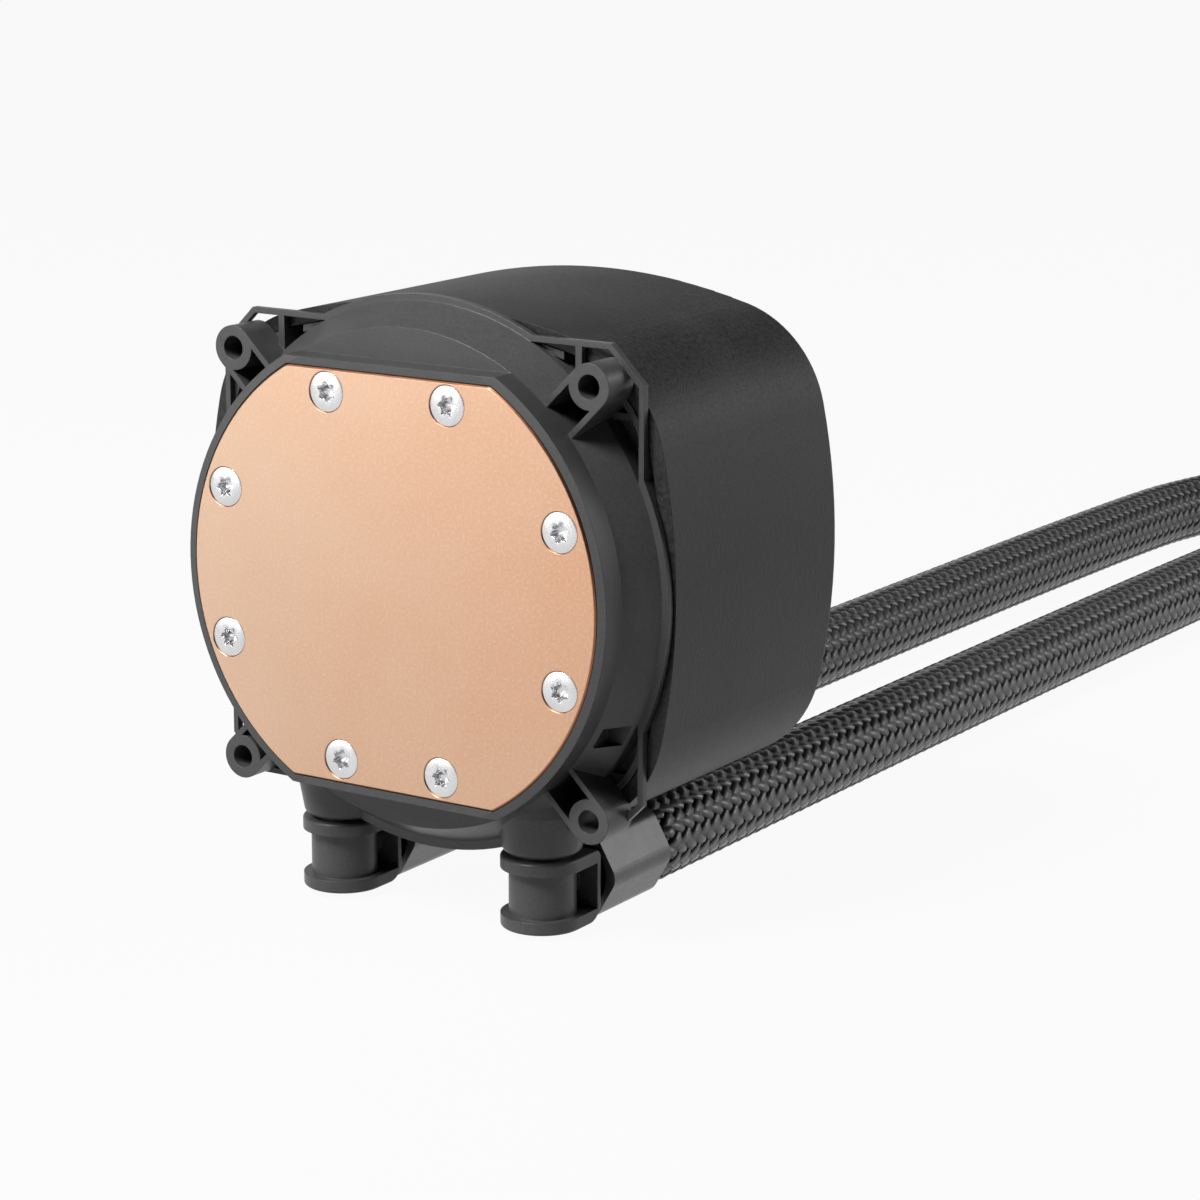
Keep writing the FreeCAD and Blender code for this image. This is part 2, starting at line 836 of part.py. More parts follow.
def cover_outline(inset, y):
    """Return the rounded square outline of the cover, drawn in by an inset, as a wire.

    Four shallow side arcs meet four corner arcs without a break in direction.
    """
    side = cover_side_radius - inset
    corner = cover_corner_radius - inset
    half_x = cover_half_width - inset
    half_z = cover_half_height - inset
    right_centre = Vector(half_x - side, 0, 0)
    top_centre = Vector(0, 0, half_z - side)
    middle = (right_centre + top_centre) / 2.0
    apart = (right_centre - top_centre).Length / 2.0
    way = Vector(right_centre.z - top_centre.z, 0, top_centre.x - right_centre.x)
    way = way.normalize()
    if way.x < 0:
        way = way * -1.0
    centre = middle + way * math.sqrt((side - corner) ** 2 - apart ** 2)
    right_touch = right_centre + (centre - right_centre).normalize() * side
    top_touch = top_centre + (centre - top_centre).normalize() * side
    diagonal = centre + (right_touch + top_touch - centre * 2.0).normalize() * corner
    signs = [(1, 1), (-1, 1), (-1, -1), (1, -1)]

    def place(point, sign):
        return Vector(sign[0] * point.x, y, cover_middle + sign[1] * point.z)

    edges = []
    for index, sign in enumerate(signs):
        following = signs[(index + 1) % 4]
        first, last = (right_touch, top_touch) if index % 2 == 0 else (top_touch, right_touch)
        edges.append(Part.Arc(place(first, sign), place(diagonal, sign), place(last, sign)).toShape())
        if index % 2 == 0:
            crown = Vector(0, y, cover_middle + sign[1] * half_z)
        else:
            crown = Vector(sign[0] * half_x, y, cover_middle)
        edges.append(Part.Arc(place(last, sign), crown, place(last, following)).toShape())
    return Part.Wire(edges)


def cover_prism(inset, y0, y1):
    """Return the cover's outline, drawn in by an inset, as a solid between two depths."""
    return Part.Face(cover_outline(inset, y0)).extrude(Vector(0, y1 - y0, 0))


def cover_shell():
    """Rounded square cover, open in front, with a window in its rear wall."""
    body = cover_prism(0, cover_front, cover_back)
    rear = [edge for edge in body.Edges if edge.BoundBox.YMin > cover_back - touch]
    body = body.makeFillet(cover_rear_edge, rear)
    room_back = cover_back - cap_thickness - cover_wall
    body = body.cut(cover_prism(cover_wall, cover_front - boolean_margin, room_back))
    body = body.cut(cover_prism(cap_inset, cover_back - cap_thickness, cover_back + boolean_margin))
    window_front = cover_back - cap_thickness - 2 * cover_wall
    body = body.cut(cover_prism(cap_inset + cap_ledge, window_front, cover_back))
    notch = neck_notch()
    return body.cut(grommet_room(0)).cut(notch).cut(mirrored(notch))


def neck_notch():
    """Return the notch in the cover's lower wall that clears the right port."""
    radius = neck_radius + neck_notch_gap
    x = port_spread
    deep = -cover_bottom - boolean_margin
    mouth = box(x - radius, x + radius, cover_front - boolean_margin, port_depth, deep, -neck_top)
    return joined([mouth, post(radius, deep, -neck_top, x, port_depth)])


def grommet_room(clearance):
    """Return the notch for the cable grommet in the left wall's front edge."""
    half = grommet_height / 2.0 - clearance
    return box(-cover_half_width - 2 * grommet_lip, -grommet_reach, cover_front - boolean_margin,
               cover_front + grommet_length - clearance, grommet_centre - half, grommet_centre + half)


def cable_grommet():
    """Rubber grommet that closes the notch in the cover's left wall."""
    back = cover_front + grommet_length
    wall = cover_prism(-grommet_lip, cover_front, back)
    wall = wall.cut(cover_prism(cover_wall + grommet_lip, cover_front - boolean_margin, back))
    block = wall.common(grommet_room(seal_gap))
    start = Vector(-cover_half_width - boolean_margin, (cover_front + back) / 2, grommet_centre)
    return block.cut(Part.makeCylinder(grommet_bore, cover_half_width, start, Vector(1, 0, 0)))


def end_cap():
    """Flat cap set into the rear wall of the cover."""
    return cover_prism(cap_inset + fit_gap, cover_back - cap_thickness, cover_back)


def swivel_plan(z0, z1):
    """Return the D-shaped plan of the right swivel between two heights."""
    round_front = post(swivel_flange, z0, z1, port_spread, port_depth)
    back = box(port_spread - swivel_flange, port_spread + swivel_flange, port_depth,
               port_depth + swivel_back, z0, z1)
    return joined([round_front, back])


def swivel():
    """Right hose swivel: spigot, barrel, two flanges, rear wall and the barbed tail."""
    x = port_spread
    y = port_depth
    body = swivel_plan(swivel_bottom, swivel_top)
    back = port_depth + swivel_back
    for corner, height in ((swivel_top_corner, swivel_top), (swivel_low_corner, swivel_bottom)):
        body = body.makeFillet(corner, [edge for edge in body.Edges if is_rear_edge(edge, back, height)])
    rims = [edge for edge in body.Edges if is_rim(edge, back)]
    body = body.makeFillet(swivel_edge, rims)
    gap_top = swivel_top - swivel_flange_height
    gap_bottom = swivel_bottom + swivel_flange_height
    gap = box(x - 2 * swivel_flange, x + 2 * swivel_flange, y - 2 * swivel_flange, back - swivel_web,
              gap_bottom, gap_top)
    body = body.cut(gap)
    barrel = post(swivel_barrel, gap_bottom, gap_top, x, y)
    spigot_top = -neck_end + socket_depth - swivel_gap
    spigot = post(spigot_radius, swivel_top, spigot_top, x, y)
    tail_end = hose_front - crimp_wall
    stub = disc(stub_radius, y, sleeve_front, x, hose_height)
    tail = disc(tail_radius, sleeve_front - tail_lead, tail_end, x, hose_height)
    barbs = []
    for index in range(barb_count):
        start = sleeve_front + (index + 1) * barb_pitch
        barbs.append(Part.makeCone(tail_radius + barb_rise, tail_radius - barb_rise, barb_length,
                                   Vector(x, start, hose_height), Vector(0, 1, 0)))
    body = joined([body, barrel, spigot, stub, tail] + barbs)
    bore = post(swivel_bore, hose_height - stub_bore - bore_foot, spigot_top + boolean_margin, x, y)
    way = disc(stub_bore, y, tail_end + boolean_margin, x, hose_height)
    body = body.cut(bore).cut(way)
    for level in seal_levels():
        body = body.cut(seal_groove(level))
    bottom = clip_level()
    groove = post(socket_radius, bottom - fit_gap, bottom + clip_height + 2 * fit_gap, x, y)
    core = post(spigot_radius - clip_bite, bottom - boolean_margin,
                bottom + clip_height + boolean_margin, x, y)
    return body.cut(groove.cut(core))


def is_rear_edge(edge, back, height):
    """Tell whether an edge crosses the swivel's flat back at a height."""
    bounds = edge.BoundBox
    level = bounds.ZLength < touch and abs(bounds.ZMin - height) < touch
    return level and bounds.YMin > back - touch and bounds.XLength > touch


def is_rim(edge, back):
    """Tell whether an edge runs round the swivel's top or bottom face."""
    bounds = edge.BoundBox
    level = bounds.ZLength < touch and bounds.YMin < back - swivel_top_corner - touch
    return level and (bounds.ZMin > swivel_top - touch or bounds.ZMax < swivel_bottom + touch)


def seal_levels():
    """Return the heights of the two ring seals on a spigot."""
    top = -neck_end + socket_depth - swivel_gap - seal_top_land - ring_section / 2.0
    return [top, top - ring_pitch]


def seal_groove(level):
    """Return the square groove of one ring seal on the right spigot."""
    half = ring_section / 2.0 + seal_gap
    floor = spigot_radius - ring_section - seal_gap
    groove = post(socket_radius, level - half, level + half, port_spread, port_depth)
    return groove.cut(post(floor, level - half, level + half, port_spread, port_depth))


def seal_ring(level):
    """Return one ring seal on the right spigot, with its edges bevelled."""
    half = ring_section / 2.0
    bevel = ring_section * ring_bevel
    inner = spigot_radius - ring_section
    outer = spigot_radius
    profile = [(inner, level - half + bevel), (inner + bevel, level - half),
               (outer - bevel, level - half), (outer, level - half + bevel),
               (outer, level + half - bevel), (outer - bevel, level + half),
               (inner + bevel, level + half), (inner, level + half - bevel)]
    return turned_upright(profile, port_spread, port_depth)


def swivel_seals():
    """Two ring seals on the right spigot."""
    return group([seal_ring(level) for level in seal_levels()])


def swivel_clip():
    """Open spring ring that keeps the right swivel in its port."""
    bottom = clip_level() + fit_gap / 2
    outer = socket_radius + clip_bite - fit_gap
    inner = spigot_radius - clip_bite + fit_gap
    ring = post(outer, bottom, bottom + clip_height, port_spread, port_depth)
    low = bottom - boolean_margin
    high = bottom + clip_height + boolean_margin
    ring = ring.cut(post(inner, low, high, port_spread, port_depth))
    half = clip_opening / 2.0
    opening = box(port_spread - half, port_spread + half, port_depth - outer - boolean_margin, port_depth,
                  low, high)
    return ring.cut(opening)


def crimp_sleeve():
    """Hexagonal crimped sleeve about the Y axis, with flats above and below, ahead of y = 0."""
    corner = hose_radius / math.cos(math.radians(30))
    outline = [(corner * math.cos(math.radians(60 * k)), corner * math.sin(math.radians(60 * k)))
               for k in range(6)]
    sleeve = prism(outline, -crimp_length, 0)
    long_edges = [edge for edge in sleeve.Edges if edge.BoundBox.YLength > crimp_length / 2]
    sleeve = sleeve.makeFillet(crimp_fillet, long_edges)
    return sleeve.cut(disc(hose_radius - crimp_wall, -crimp_length - boolean_margin, boolean_margin))


def hose_points(side):
    """Return the route of one hose as points on its axis."""
    bends = right_bends if side > 0 else left_bends
    point = Vector(side * port_spread, hose_front, hose_height)
    points = [point]
    heading = 0.0
    point = point + Vector(0, straight_run, 0)
    points.append(point)
    for length, turn_angle in bends:
        heading += math.radians(turn_angle)
        point = point + Vector(math.sin(heading) * length, math.cos(heading) * length, 0)
        points.append(point)
    return points


def route_wire(points):
    """Return straight runs joined by tangent arcs through a route, and the radii of the arcs."""
    edges = []
    radii = []
    start = points[0]
    for before, corner, after in zip(points, points[1:], points[2:]):
        first = (corner - before).Length
        second = (after - corner).Length
        into = (corner - before).normalize()
        out = (after - corner).normalize()
        turn_angle = into.getAngle(out)
        reach = tangent_share * min(first, second)
        radius = reach / math.tan(turn_angle / 2)
        radii.append(radius)
        arc_start = corner - into * reach
        arc_end = corner + out * reach
        inward = (out - into).normalize()
        centre = corner + inward * math.hypot(radius, reach)
        arc_middle = centre - inward * radius
        edges.append(Part.LineSegment(start, arc_start).toShape())
        edges.append(Part.Arc(arc_start, arc_middle, arc_end).toShape())
        start = arc_end
    edges.append(Part.LineSegment(start, points[-1]).toShape())
    return Part.Wire(edges), radii


def hose(side):
    """Braided hose of one side, with the necked ends that the sleeves grip."""
    points = hose_points(side)
    wire, radii = route_wire(points)
    print("hose", side, "length", round(wire.Length, 1), "radii", [round(r, 1) for r in radii])
    body = piped(wire, hose_radius, points)
    ideal = wire.Length * math.pi * hose_radius ** 2
    print("hose volume over section times length", round(body.Volume / ideal, 5))
    neck_radius_in = hose_radius - crimp_wall - seal_gap
    heading = (points[-1] - points[-2]).normalize()
    gripped = crimp_length - neck_start
    ends = [Part.makeCylinder(neck_radius_in, gripped, points[0] - Vector(0, gripped, 0),
                              Vector(0, 1, 0)),
            Part.makeCylinder(neck_radius_in, gripped, points[-1], heading)]
    body = joined([body] + ends)
    bore = piped(wire, hose_bore, points)
    body = body.cut(bore)
    first = Part.makeCylinder(hose_bore, crimp_length, points[0] - Vector(0, crimp_length, 0),
                              Vector(0, 1, 0))
    last = Part.makeCylinder(hose_bore, crimp_length, points[-1], heading)
    return body.cut(first).cut(last)


def piped(wire, radius, points):
    """Return a round bar of one radius along a wire."""
    way = (points[1] - points[0]).normalize()
    circle = Part.Wire([Part.makeCircle(radius, points[0], way)])
    return wire.makePipeShell([circle], True, False)


def at_far_end(shape, side):
    """Return a shape drawn behind y = 0 moved to the far end of one hose."""
    points = hose_points(side)
    way = (points[-1] - points[-2]).normalize()
    heading = math.degrees(math.atan2(way.x, way.y))
    copy = shape.copy()
    copy.rotate(Vector(0, 0, 0), Vector(0, 0, 1), -heading)
    copy.translate(points[-1])
    return copy


def end_sleeve(side):
    """Crimped sleeve at the far end of one hose."""
    sleeve = crimp_sleeve()
    sleeve.translate(Vector(0, crimp_length, 0))
    return at_far_end(sleeve, side)


def end_fitting(side):
    """Plain round fitting in the far end of one hose."""
    tail = disc(tail_radius, crimp_wall, crimp_length + boolean_margin)
    collar = disc(hose_radius, crimp_length, crimp_length + end_collar_length)
    stub = disc(end_stub_radius, crimp_length, crimp_length + end_collar_length + end_stub_length)
    body = joined([tail, collar, stub])
    end = crimp_length + end_collar_length + end_stub_length
    round_end = [edge for edge in body.Edges if edge.BoundBox.YMin > end - touch]
    body = body.makeChamfer(end_stub_bevel, round_end)
    body = body.cut(disc(end_stub_bore, 0, end + boolean_margin))
    return at_far_end(body, side)


def build():
    """Return every node of the part by its name."""
    rear_bush_front = can_back - can_wall - rotor_end_gap - bush_length
    nodes = {
        "cold_plate": cold_plate(),
        "plate_screws": plate_screws(),
        "plate_seal": plate_seal(),
        "jet_plate": jet_plate(),
        "pump_base": pump_base(),
        "front_bush": bush(shaft_front),
        "rear_bush": bush(rear_bush_front),
        "impeller": impeller(),
        "rotor_magnet": rotor_magnet(),
        "rotor_shaft": rotor_shaft(),
        "rotor_can": rotor_can(),
        "can_screws": can_screws(),
        "stator_core": stator_core(),
        "stator_coils": stator_coils(),
        "stator_spacer": stator_spacer(),
        "circuit_board": circuit_board(),
        "board_parts": board_parts(),
        "cover_shell": cover_shell(),
        "cable_grommet": cable_grommet(),
        "end_cap": end_cap(),
    }
    pieces = {"swivel": swivel(), "swivel_seals": swivel_seals(), "swivel_clip": swivel_clip()}
    sleeve = crimp_sleeve()
    for name, side in (("right", 1), ("left", -1)):
        for piece, shape in pieces.items():
            nodes[f"{piece}_{name}"] = shape if side > 0 else mirrored(shape)
        near = sleeve.copy()
        near.translate(Vector(side * port_spread, hose_front, hose_height))
        nodes[f"crimp_sleeve_{name}"] = near
        nodes[f"hose_{name}"] = hose(side)
        nodes[f"end_sleeve_{name}"] = end_sleeve(side)
        nodes[f"end_fitting_{name}"] = end_fitting(side)
    return nodes


os.makedirs("parts", exist_ok=True)
for name, shape in build().items():
    shape.exportStep(f"parts/{name}.step")
    print(name, len(shape.Solids), "solids", round(shape.Volume, 1), "mm3", shape.isValid())
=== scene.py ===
"""Looks of an all in one processor cooler: a pump head with two braided hoses on swivels.

Every size is in metres in the CAD frame: +X right, +Y from the contact face to the cover's
closed end, +Z up. The origin is the middle of the cold plate's contact face.
"""

import json
import logging
import math
from dataclasses import dataclass, field
from enum import Enum
from typing import NamedTuple

import bpy
from mathutils import Euler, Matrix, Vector

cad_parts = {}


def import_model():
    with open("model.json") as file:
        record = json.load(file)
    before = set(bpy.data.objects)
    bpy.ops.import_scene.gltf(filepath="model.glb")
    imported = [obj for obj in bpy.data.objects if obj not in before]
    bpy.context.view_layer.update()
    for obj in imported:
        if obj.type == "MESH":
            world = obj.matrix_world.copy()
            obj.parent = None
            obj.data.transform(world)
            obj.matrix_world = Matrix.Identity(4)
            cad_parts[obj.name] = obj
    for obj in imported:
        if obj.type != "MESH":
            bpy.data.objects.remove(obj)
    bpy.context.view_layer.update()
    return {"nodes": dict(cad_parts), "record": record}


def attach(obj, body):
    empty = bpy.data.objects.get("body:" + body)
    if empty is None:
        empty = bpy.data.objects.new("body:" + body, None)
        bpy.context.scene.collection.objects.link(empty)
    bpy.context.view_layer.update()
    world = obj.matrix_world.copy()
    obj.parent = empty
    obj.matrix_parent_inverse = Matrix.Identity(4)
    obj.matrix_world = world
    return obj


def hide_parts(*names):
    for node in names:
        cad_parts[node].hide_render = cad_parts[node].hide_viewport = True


MM = 0.001
FULL_TURN = 2 * math.pi
FLOOR_HEIGHT = -47.5 * MM
SEED = 7
EDGE_SAMPLES = 4
SHARP_ANGLE = 32.0
NOISE_LOW, NOISE_HIGH = 0.3, 0.7
LOG = logging.getLogger("cooler")

Pair = tuple[float, float]
Triple = tuple[float, float, float]
Colour = Triple


class Grain(NamedTuple):
    """A soft noise: the size of one blotch, how many finer layers it has and their strength."""

    size: float
    detail: float = 2.0
    rough: float = 0.5


class Span(NamedTuple):
    """A range of numbers, and the range that it is moved to."""

    low: float
    high: float
    bottom: float = 0.0
    top: float = 1.0


class Side(Enum):
    """The two hoses, named as the front of the pump head shows them."""

    RIGHT = 1
    LEFT = -1

    @property
    def word(self) -> str:
        """Return the side's name as the nodes spell it."""
        return self.name.lower()


def rgba(colour: Colour) -> tuple[float, float, float, float]:
    """Return an opaque colour for a socket."""
    return (*colour, 1.0)


def scaled(colour: Colour, factor: float) -> Colour:
    """Return a colour made lighter or darker."""
    return tuple(part * factor for part in colour)


def link_object(name: str, data: bpy.types.ID) -> bpy.types.Object:
    """Put a mesh, curve, lamp or camera into the scene.

    Args:
        name: the new object's name.
        data: what it shows.

    Returns:
        The object, at the origin.
    """
    made = bpy.data.objects.new(name, data)
    bpy.context.scene.collection.objects.link(made)
    return made


def flat_panel(name: str, corners: list[Triple | Vector]) -> bpy.types.Object:
    """Put one four-cornered face into the scene.

    Args:
        name: the name of the object and of its mesh.
        corners: its corners, in order.

    Returns:
        The object, without a material.
    """
    mesh = bpy.data.meshes.new(name)
    mesh.from_pydata(corners, [], [(0, 1, 2, 3)])
    return link_object(name, mesh)


def plain_mesh(source: bpy.types.Object, name: str) -> bpy.types.Mesh:
    """Turn what an object's modifiers make into a mesh of its own.

    Args:
        source: the object.
        name: the mesh's name.

    Returns:
        The mesh.
    """
    graph = bpy.context.evaluated_depsgraph_get()
    made = bpy.data.meshes.new_from_object(source.evaluated_get(graph), depsgraph=graph)
    made.name = name
    return made


def ring_mesh(name: str, rings: list[tuple[list[float], float]], shift: float) -> bpy.types.Mesh:
    """Return a closed form of rings about the Y axis, smooth between sharp edges.

    Args:
        name: the mesh's name.
        rings: radii round the axis and the depth of each ring, from the inside out.
        shift: how far along Y the whole form sits.

    Returns:
        The mesh, with a point at each end.
    """
    steps = len(rings[0][0])
    points = [(0.0, rings[0][1] + shift, 0.0)]
    for radii, depth in rings:
        for step, radius in enumerate(radii):
            angle = FULL_TURN * step / steps
            points.append((radius * math.cos(angle), depth + shift, radius * math.sin(angle)))
    points.append((0.0, rings[-1][1] + shift, 0.0))
    faces = []
    for step in range(steps):
        following = (step + 1) % steps
        faces.append((0, 1 + step, 1 + following))
        for level in range(len(rings) - 1):
            here = 1 + level * steps
            there = here + steps
            faces.append((here + step, there + step, there + following, here + following))
        final = 1 + (len(rings) - 1) * steps
        faces.append((final + step, len(points) - 1, final + following))
    mesh = bpy.data.meshes.new(name)
    mesh.from_pydata(points, [], faces)
    mesh.shade_smooth()
    mesh.set_sharp_from_angle(angle=math.radians(SHARP_ANGLE))
    return mesh


class Nodes:
    """A tree of nodes, with a short way to feed them."""

    def __init__(self, tree: bpy.types.NodeTree) -> None:
        """Keep the tree."""
        self.tree = tree

    def join(self, value: object, socket: bpy.types.NodeSocket) -> None:
        """Feed a socket.

        Args:
            value: another socket, or a plain value.
            socket: the socket that takes it.
        """
        if isinstance(value, bpy.types.NodeSocket):
            self.tree.links.new(value, socket)
        else:
            socket.default_value = value


class Graph(Nodes):
    """The shader nodes of a material or of the world, with short ways to add them."""

    def __init__(self, owner: bpy.types.Material | bpy.types.World) -> None:
        """Start from the nodes that a new owner has.

        Args:
            owner: the new material or world.
        """
        owner.use_nodes = True
        super().__init__(owner.node_tree)
        self.owner = owner

    def node(self, kind: str, **settings: object) -> bpy.types.Node:
        """Add a node.

        Args:
            kind: the node's type, without the ShaderNode in front.
            settings: its properties.

        Returns:
            The new node.
        """
        made = self.tree.nodes.new("ShaderNode" + kind)
        for name, value in settings.items():
            setattr(made, name, value)
        return made

    def place(self, stretch: Triple = (1.0, 1.0, 1.0)) -> bpy.types.NodeSocket:
        """Return Object coordinates.

        Args:
            stretch: how much finer a pattern gets along each axis.

        Returns:
            The coordinates.
        """
        mapping = self.node("Mapping")
        mapping.inputs["Scale"].default_value = stretch
        self.join(self.node("TexCoord").outputs["Object"], mapping.inputs["Vector"])
        return mapping.outputs["Vector"]

    def attribute(self, name: str, output: str = "Fac") -> bpy.types.NodeSocket:
        """Return a number or vector that the mesh carries on its points."""
        return self.node("Attribute", attribute_name=name).outputs[output]

    def noise(self, where: bpy.types.NodeSocket, grain: Grain) -> bpy.types.NodeSocket:
        """Return soft noise.

        Args:
            where: the coordinates.
            grain: its size and its finer layers.

        Returns:
            A number about 0.5.
        """
        made = self.node("TexNoise")
        self.join(where, made.inputs["Vector"])
        made.inputs["Scale"].default_value = 1.0 / grain.size
        made.inputs["Detail"].default_value = grain.detail
        made.inputs["Roughness"].default_value = grain.rough
        return made.outputs["Fac"]

    def math(self, kind: str, *values: object) -> bpy.types.NodeSocket:
        """Calculate with numbers or sockets.

        Args:
            kind: the operation.
            values: what it works on.

        Returns:
            The result.
        """
        made = self.node("Math", operation=kind)
        for value, socket in zip(values, made.inputs):
            self.join(value, socket)
        return made.outputs[0]

    def spread(self, value: bpy.types.NodeSocket, span: Span) -> bpy.types.NodeSocket:
        """Move a number from one range to another, and hold it inside.

        Args:
            value: the number.
            span: both ranges.

        Returns:
            The moved number.
        """
        made = self.node("MapRange")
        for name, number in zip(("From Min", "From Max", "To Min", "To Max"), span):
            made.inputs[name].default_value = number
        self.join(value, made.inputs["Value"])
        return made.outputs["Result"]

    def uneven(self, noise: bpy.types.NodeSocket, middle: float,
               wander: Pair) -> bpy.types.NodeSocket:
        """Return a roughness that follows a noise.

        Args:
            noise: the noise.
            middle: the roughness of the whole surface.
            wander: how far it falls and how far it rises.

        Returns:
            The roughness.
        """
        return self.spread(noise, Span(NOISE_LOW, NOISE_HIGH, middle - wander[0],
                                       middle + wander[1]))

    def blend(self, share: object, first: object, second: object) -> bpy.types.NodeSocket:
        """Mix two colours.

        Args:
            share: how much of the second there is, from 0 to 1.
            first: a colour.
            second: the other colour.

        Returns:
            The mixed colour.
        """
        made = self.node("Mix", data_type="RGBA")
        for value, name in ((share, "Factor_Float"), (first, "A_Color"), (second, "B_Color")):
            socket = next(entry for entry in made.inputs if entry.identifier == name)
            self.join(value, socket)
        return next(entry for entry in made.outputs if entry.identifier == "Result_Color")

    def bump(self, height: bpy.types.NodeSocket, depth: float, strength: float = 1.0,
             under: bpy.types.NodeSocket | None = None) -> bpy.types.NodeSocket:
        """Return a normal that follows a height.

        Args:
            height: a number from 0 to 1.
            depth: the depth in metres that 1 stands for.
            strength: how far it counts.
            under: a coarser normal that it lies on.

        Returns:
            The normal.
        """
        made = self.node("Bump")
        made.inputs["Strength"].default_value = strength
        made.inputs["Distance"].default_value = depth
        self.join(height, made.inputs["Height"])
        if under is not None:
            self.join(under, made.inputs["Normal"])
        return made.outputs["Normal"]

    def rounded(self, radius: float) -> bpy.types.NodeSocket:
        """Return a normal that softens sharp edges.

        Args:
            radius: the radius that the edges seem to have.

        Returns:
            The normal.
        """
        made = self.node("Bevel", samples=EDGE_SAMPLES)
        made.inputs["Radius"].default_value = radius
        return made.outputs["Normal"]

    def surface(self, **sockets: object) -> bpy.types.Material:
        """Set the material's own shader.

        Args:
            sockets: values by socket name, with _ for a space.

        Returns:
            The finished material.
        """
        shader = self.tree.nodes["Principled BSDF"]
        for name, value in sockets.items():
            self.join(value, shader.inputs[name.replace("_", " ")])
        return self.owner

    def seen(self) -> bpy.types.NodeSocket:
        """Tell rays that show the surface from rays that only light something.

        Returns:
            1 for the camera's own rays, gloss and rays through glass, and 0 for the rest.
        """
        path = self.node("LightPath")
        seen = path.outputs["Is Camera Ray"]
        for ray in ("Is Glossy Ray", "Is Transmission Ray"):
            seen = self.math("MAXIMUM", seen, path.outputs[ray])
        return seen

    def show(self, share: bpy.types.NodeSocket, parts: list[bpy.types.Node], end: str) -> None:
        """Mix two shaders and show the result.

        Args:
            share: how much of the second there is, from 0 to 1.
            parts: the first and the second shader.
            end: the name of the output node.
        """
        mix = self.node("MixShader")
        for value, socket in zip((share, *(part.outputs[0] for part in parts)), mix.inputs):
            self.join(value, socket)
        self.join(mix.outputs[0], self.tree.nodes[end].inputs["Surface"])


def material_graph(name: str) -> Graph:
    """Return the graph of a new material."""
    return Graph(bpy.data.materials.new(name))


@dataclass(frozen=True)
class MouldedPlastic:
    """Glass-filled plastic with the fine grain of an eroded mould."""

    colour: Colour = (0.050, 0.0502, 0.0511)
    roughness: float = 0.38
    wander: Pair = (0.05, 0.06)
    grain: float = 0.35 * MM
    grain_detail: float = 3.0
    grain_rough: float = 0.62
    cloud: float = 24.0
    shares: Pair = (0.7, 0.3)
    depth: float = 0.012 * MM
    edge: float = 0.18 * MM
    mottle: float = 0.22
    gloss: float = 0.34

    def material(self, name: str) -> bpy.types.Material:
        """Make the finish.

        Args:
            name: the material's name.

        Returns:
            The finished material.
        """
        graph = material_graph(name)
        where = graph.place()
        fine = graph.noise(where, Grain(self.grain, self.grain_detail, self.grain_rough))
        broad = graph.noise(where, Grain(self.cloud * self.grain))
        shade = graph.math("ADD", *(graph.math("MULTIPLY", layer, share)
                                    for layer, share in zip((fine, broad), self.shares)))
        tone = graph.blend(graph.spread(shade, Span(NOISE_LOW, NOISE_HIGH)),
                           rgba(scaled(self.colour, 1 - self.mottle)),
                           rgba(scaled(self.colour, 1 + self.mottle)))
        rough = graph.uneven(fine, self.roughness, self.wander)
        normal = graph.bump(fine, self.depth, 1.0, graph.rounded(self.edge))
        return graph.surface(Base_Color=tone, Roughness=rough, Normal=normal,
                             Specular_IOR_Level=self.gloss)


@dataclass(frozen=True)
class LappedCopper:
    """Bare copper, lapped flat, a little darker and redder in random clouds, with painted shade
    that darkens and reddens it towards the right side and a painted dark brown edge behind the
    contact face.
    """

    fresh: Colour = (0.615, 0.425, 0.303)
    # The darker, redder tone of the random clouds and of the painted shade towards the right side.
    aged: Colour = (0.58, 0.325, 0.203)
    speck: Colour = (0.72, 0.50, 0.385)
    # Painted shade for the plate's chamfer and sides.
    worn_edge: Colour = (0.30, 0.12, 0.06)
    roughness: float = 0.36
    wander: Pair = (0.06, 0.08)
    scratches: Grain = Grain(0.16 * MM, 4.0, 0.65)
    scratch_stretch: Triple = (0.06, 1.0, 1.0)
    scratch_depth: float = 0.004 * MM
    scratch_strength: float = 0.6
    speckle: Grain = Grain(0.4 * MM, 3.0, 0.7)
    speckle_span: Span = Span(0.48, 0.72, 0.0, 0.55)
    cloud: Grain = Grain(18 * MM)
    cloud_age: Pair = (-0.1, 0.2)
    # Painted shade: how much darker and redder the copper gets from left to right.
    side_age: Span = Span(-32.0 * MM, 32.0 * MM, 0.0, 0.75)
    edge: float = 0.08 * MM
    edge_span: Span = Span(0.02 * MM, 0.09 * MM)

    def material(self, name: str) -> bpy.types.Material:
        """Make the finish.

        Args:
            name: the material's name.

        Returns:
            The finished material.
        """
        graph = material_graph(name)
        where = graph.place()
        lines = graph.noise(graph.place(self.scratch_stretch), self.scratches)
        split = graph.node("SeparateXYZ")
        graph.join(where, split.inputs[0])
        cloud = graph.spread(graph.noise(where, self.cloud),
                             Span(NOISE_LOW, NOISE_HIGH, *self.cloud_age))
        # Painted shade towards the right side (+X), added to random clouds of the darker tone.
        side_shade_and_age = graph.math("ADD", graph.spread(split.outputs["X"], self.side_age), cloud)
        tone = graph.blend(side_shade_and_age, rgba(self.fresh), rgba(self.aged))
        speckle = graph.spread(graph.noise(where, self.speckle), self.speckle_span)
        tone = graph.blend(speckle, tone, rgba(self.speck))
        # Painted shade: from just behind the contact face, the plate's chamfer and sides turn dark
        # brown.
        edge_shade = graph.spread(split.outputs["Y"], self.edge_span)
        tone = graph.blend(edge_shade, tone, rgba(self.worn_edge))
        rough = graph.uneven(lines, self.roughness, self.wander)
        normal = graph.bump(lines, self.scratch_depth, self.scratch_strength,
                            graph.rounded(self.edge))
        return graph.surface(Base_Color=tone, Roughness=rough, Normal=normal, Metallic=1.0)


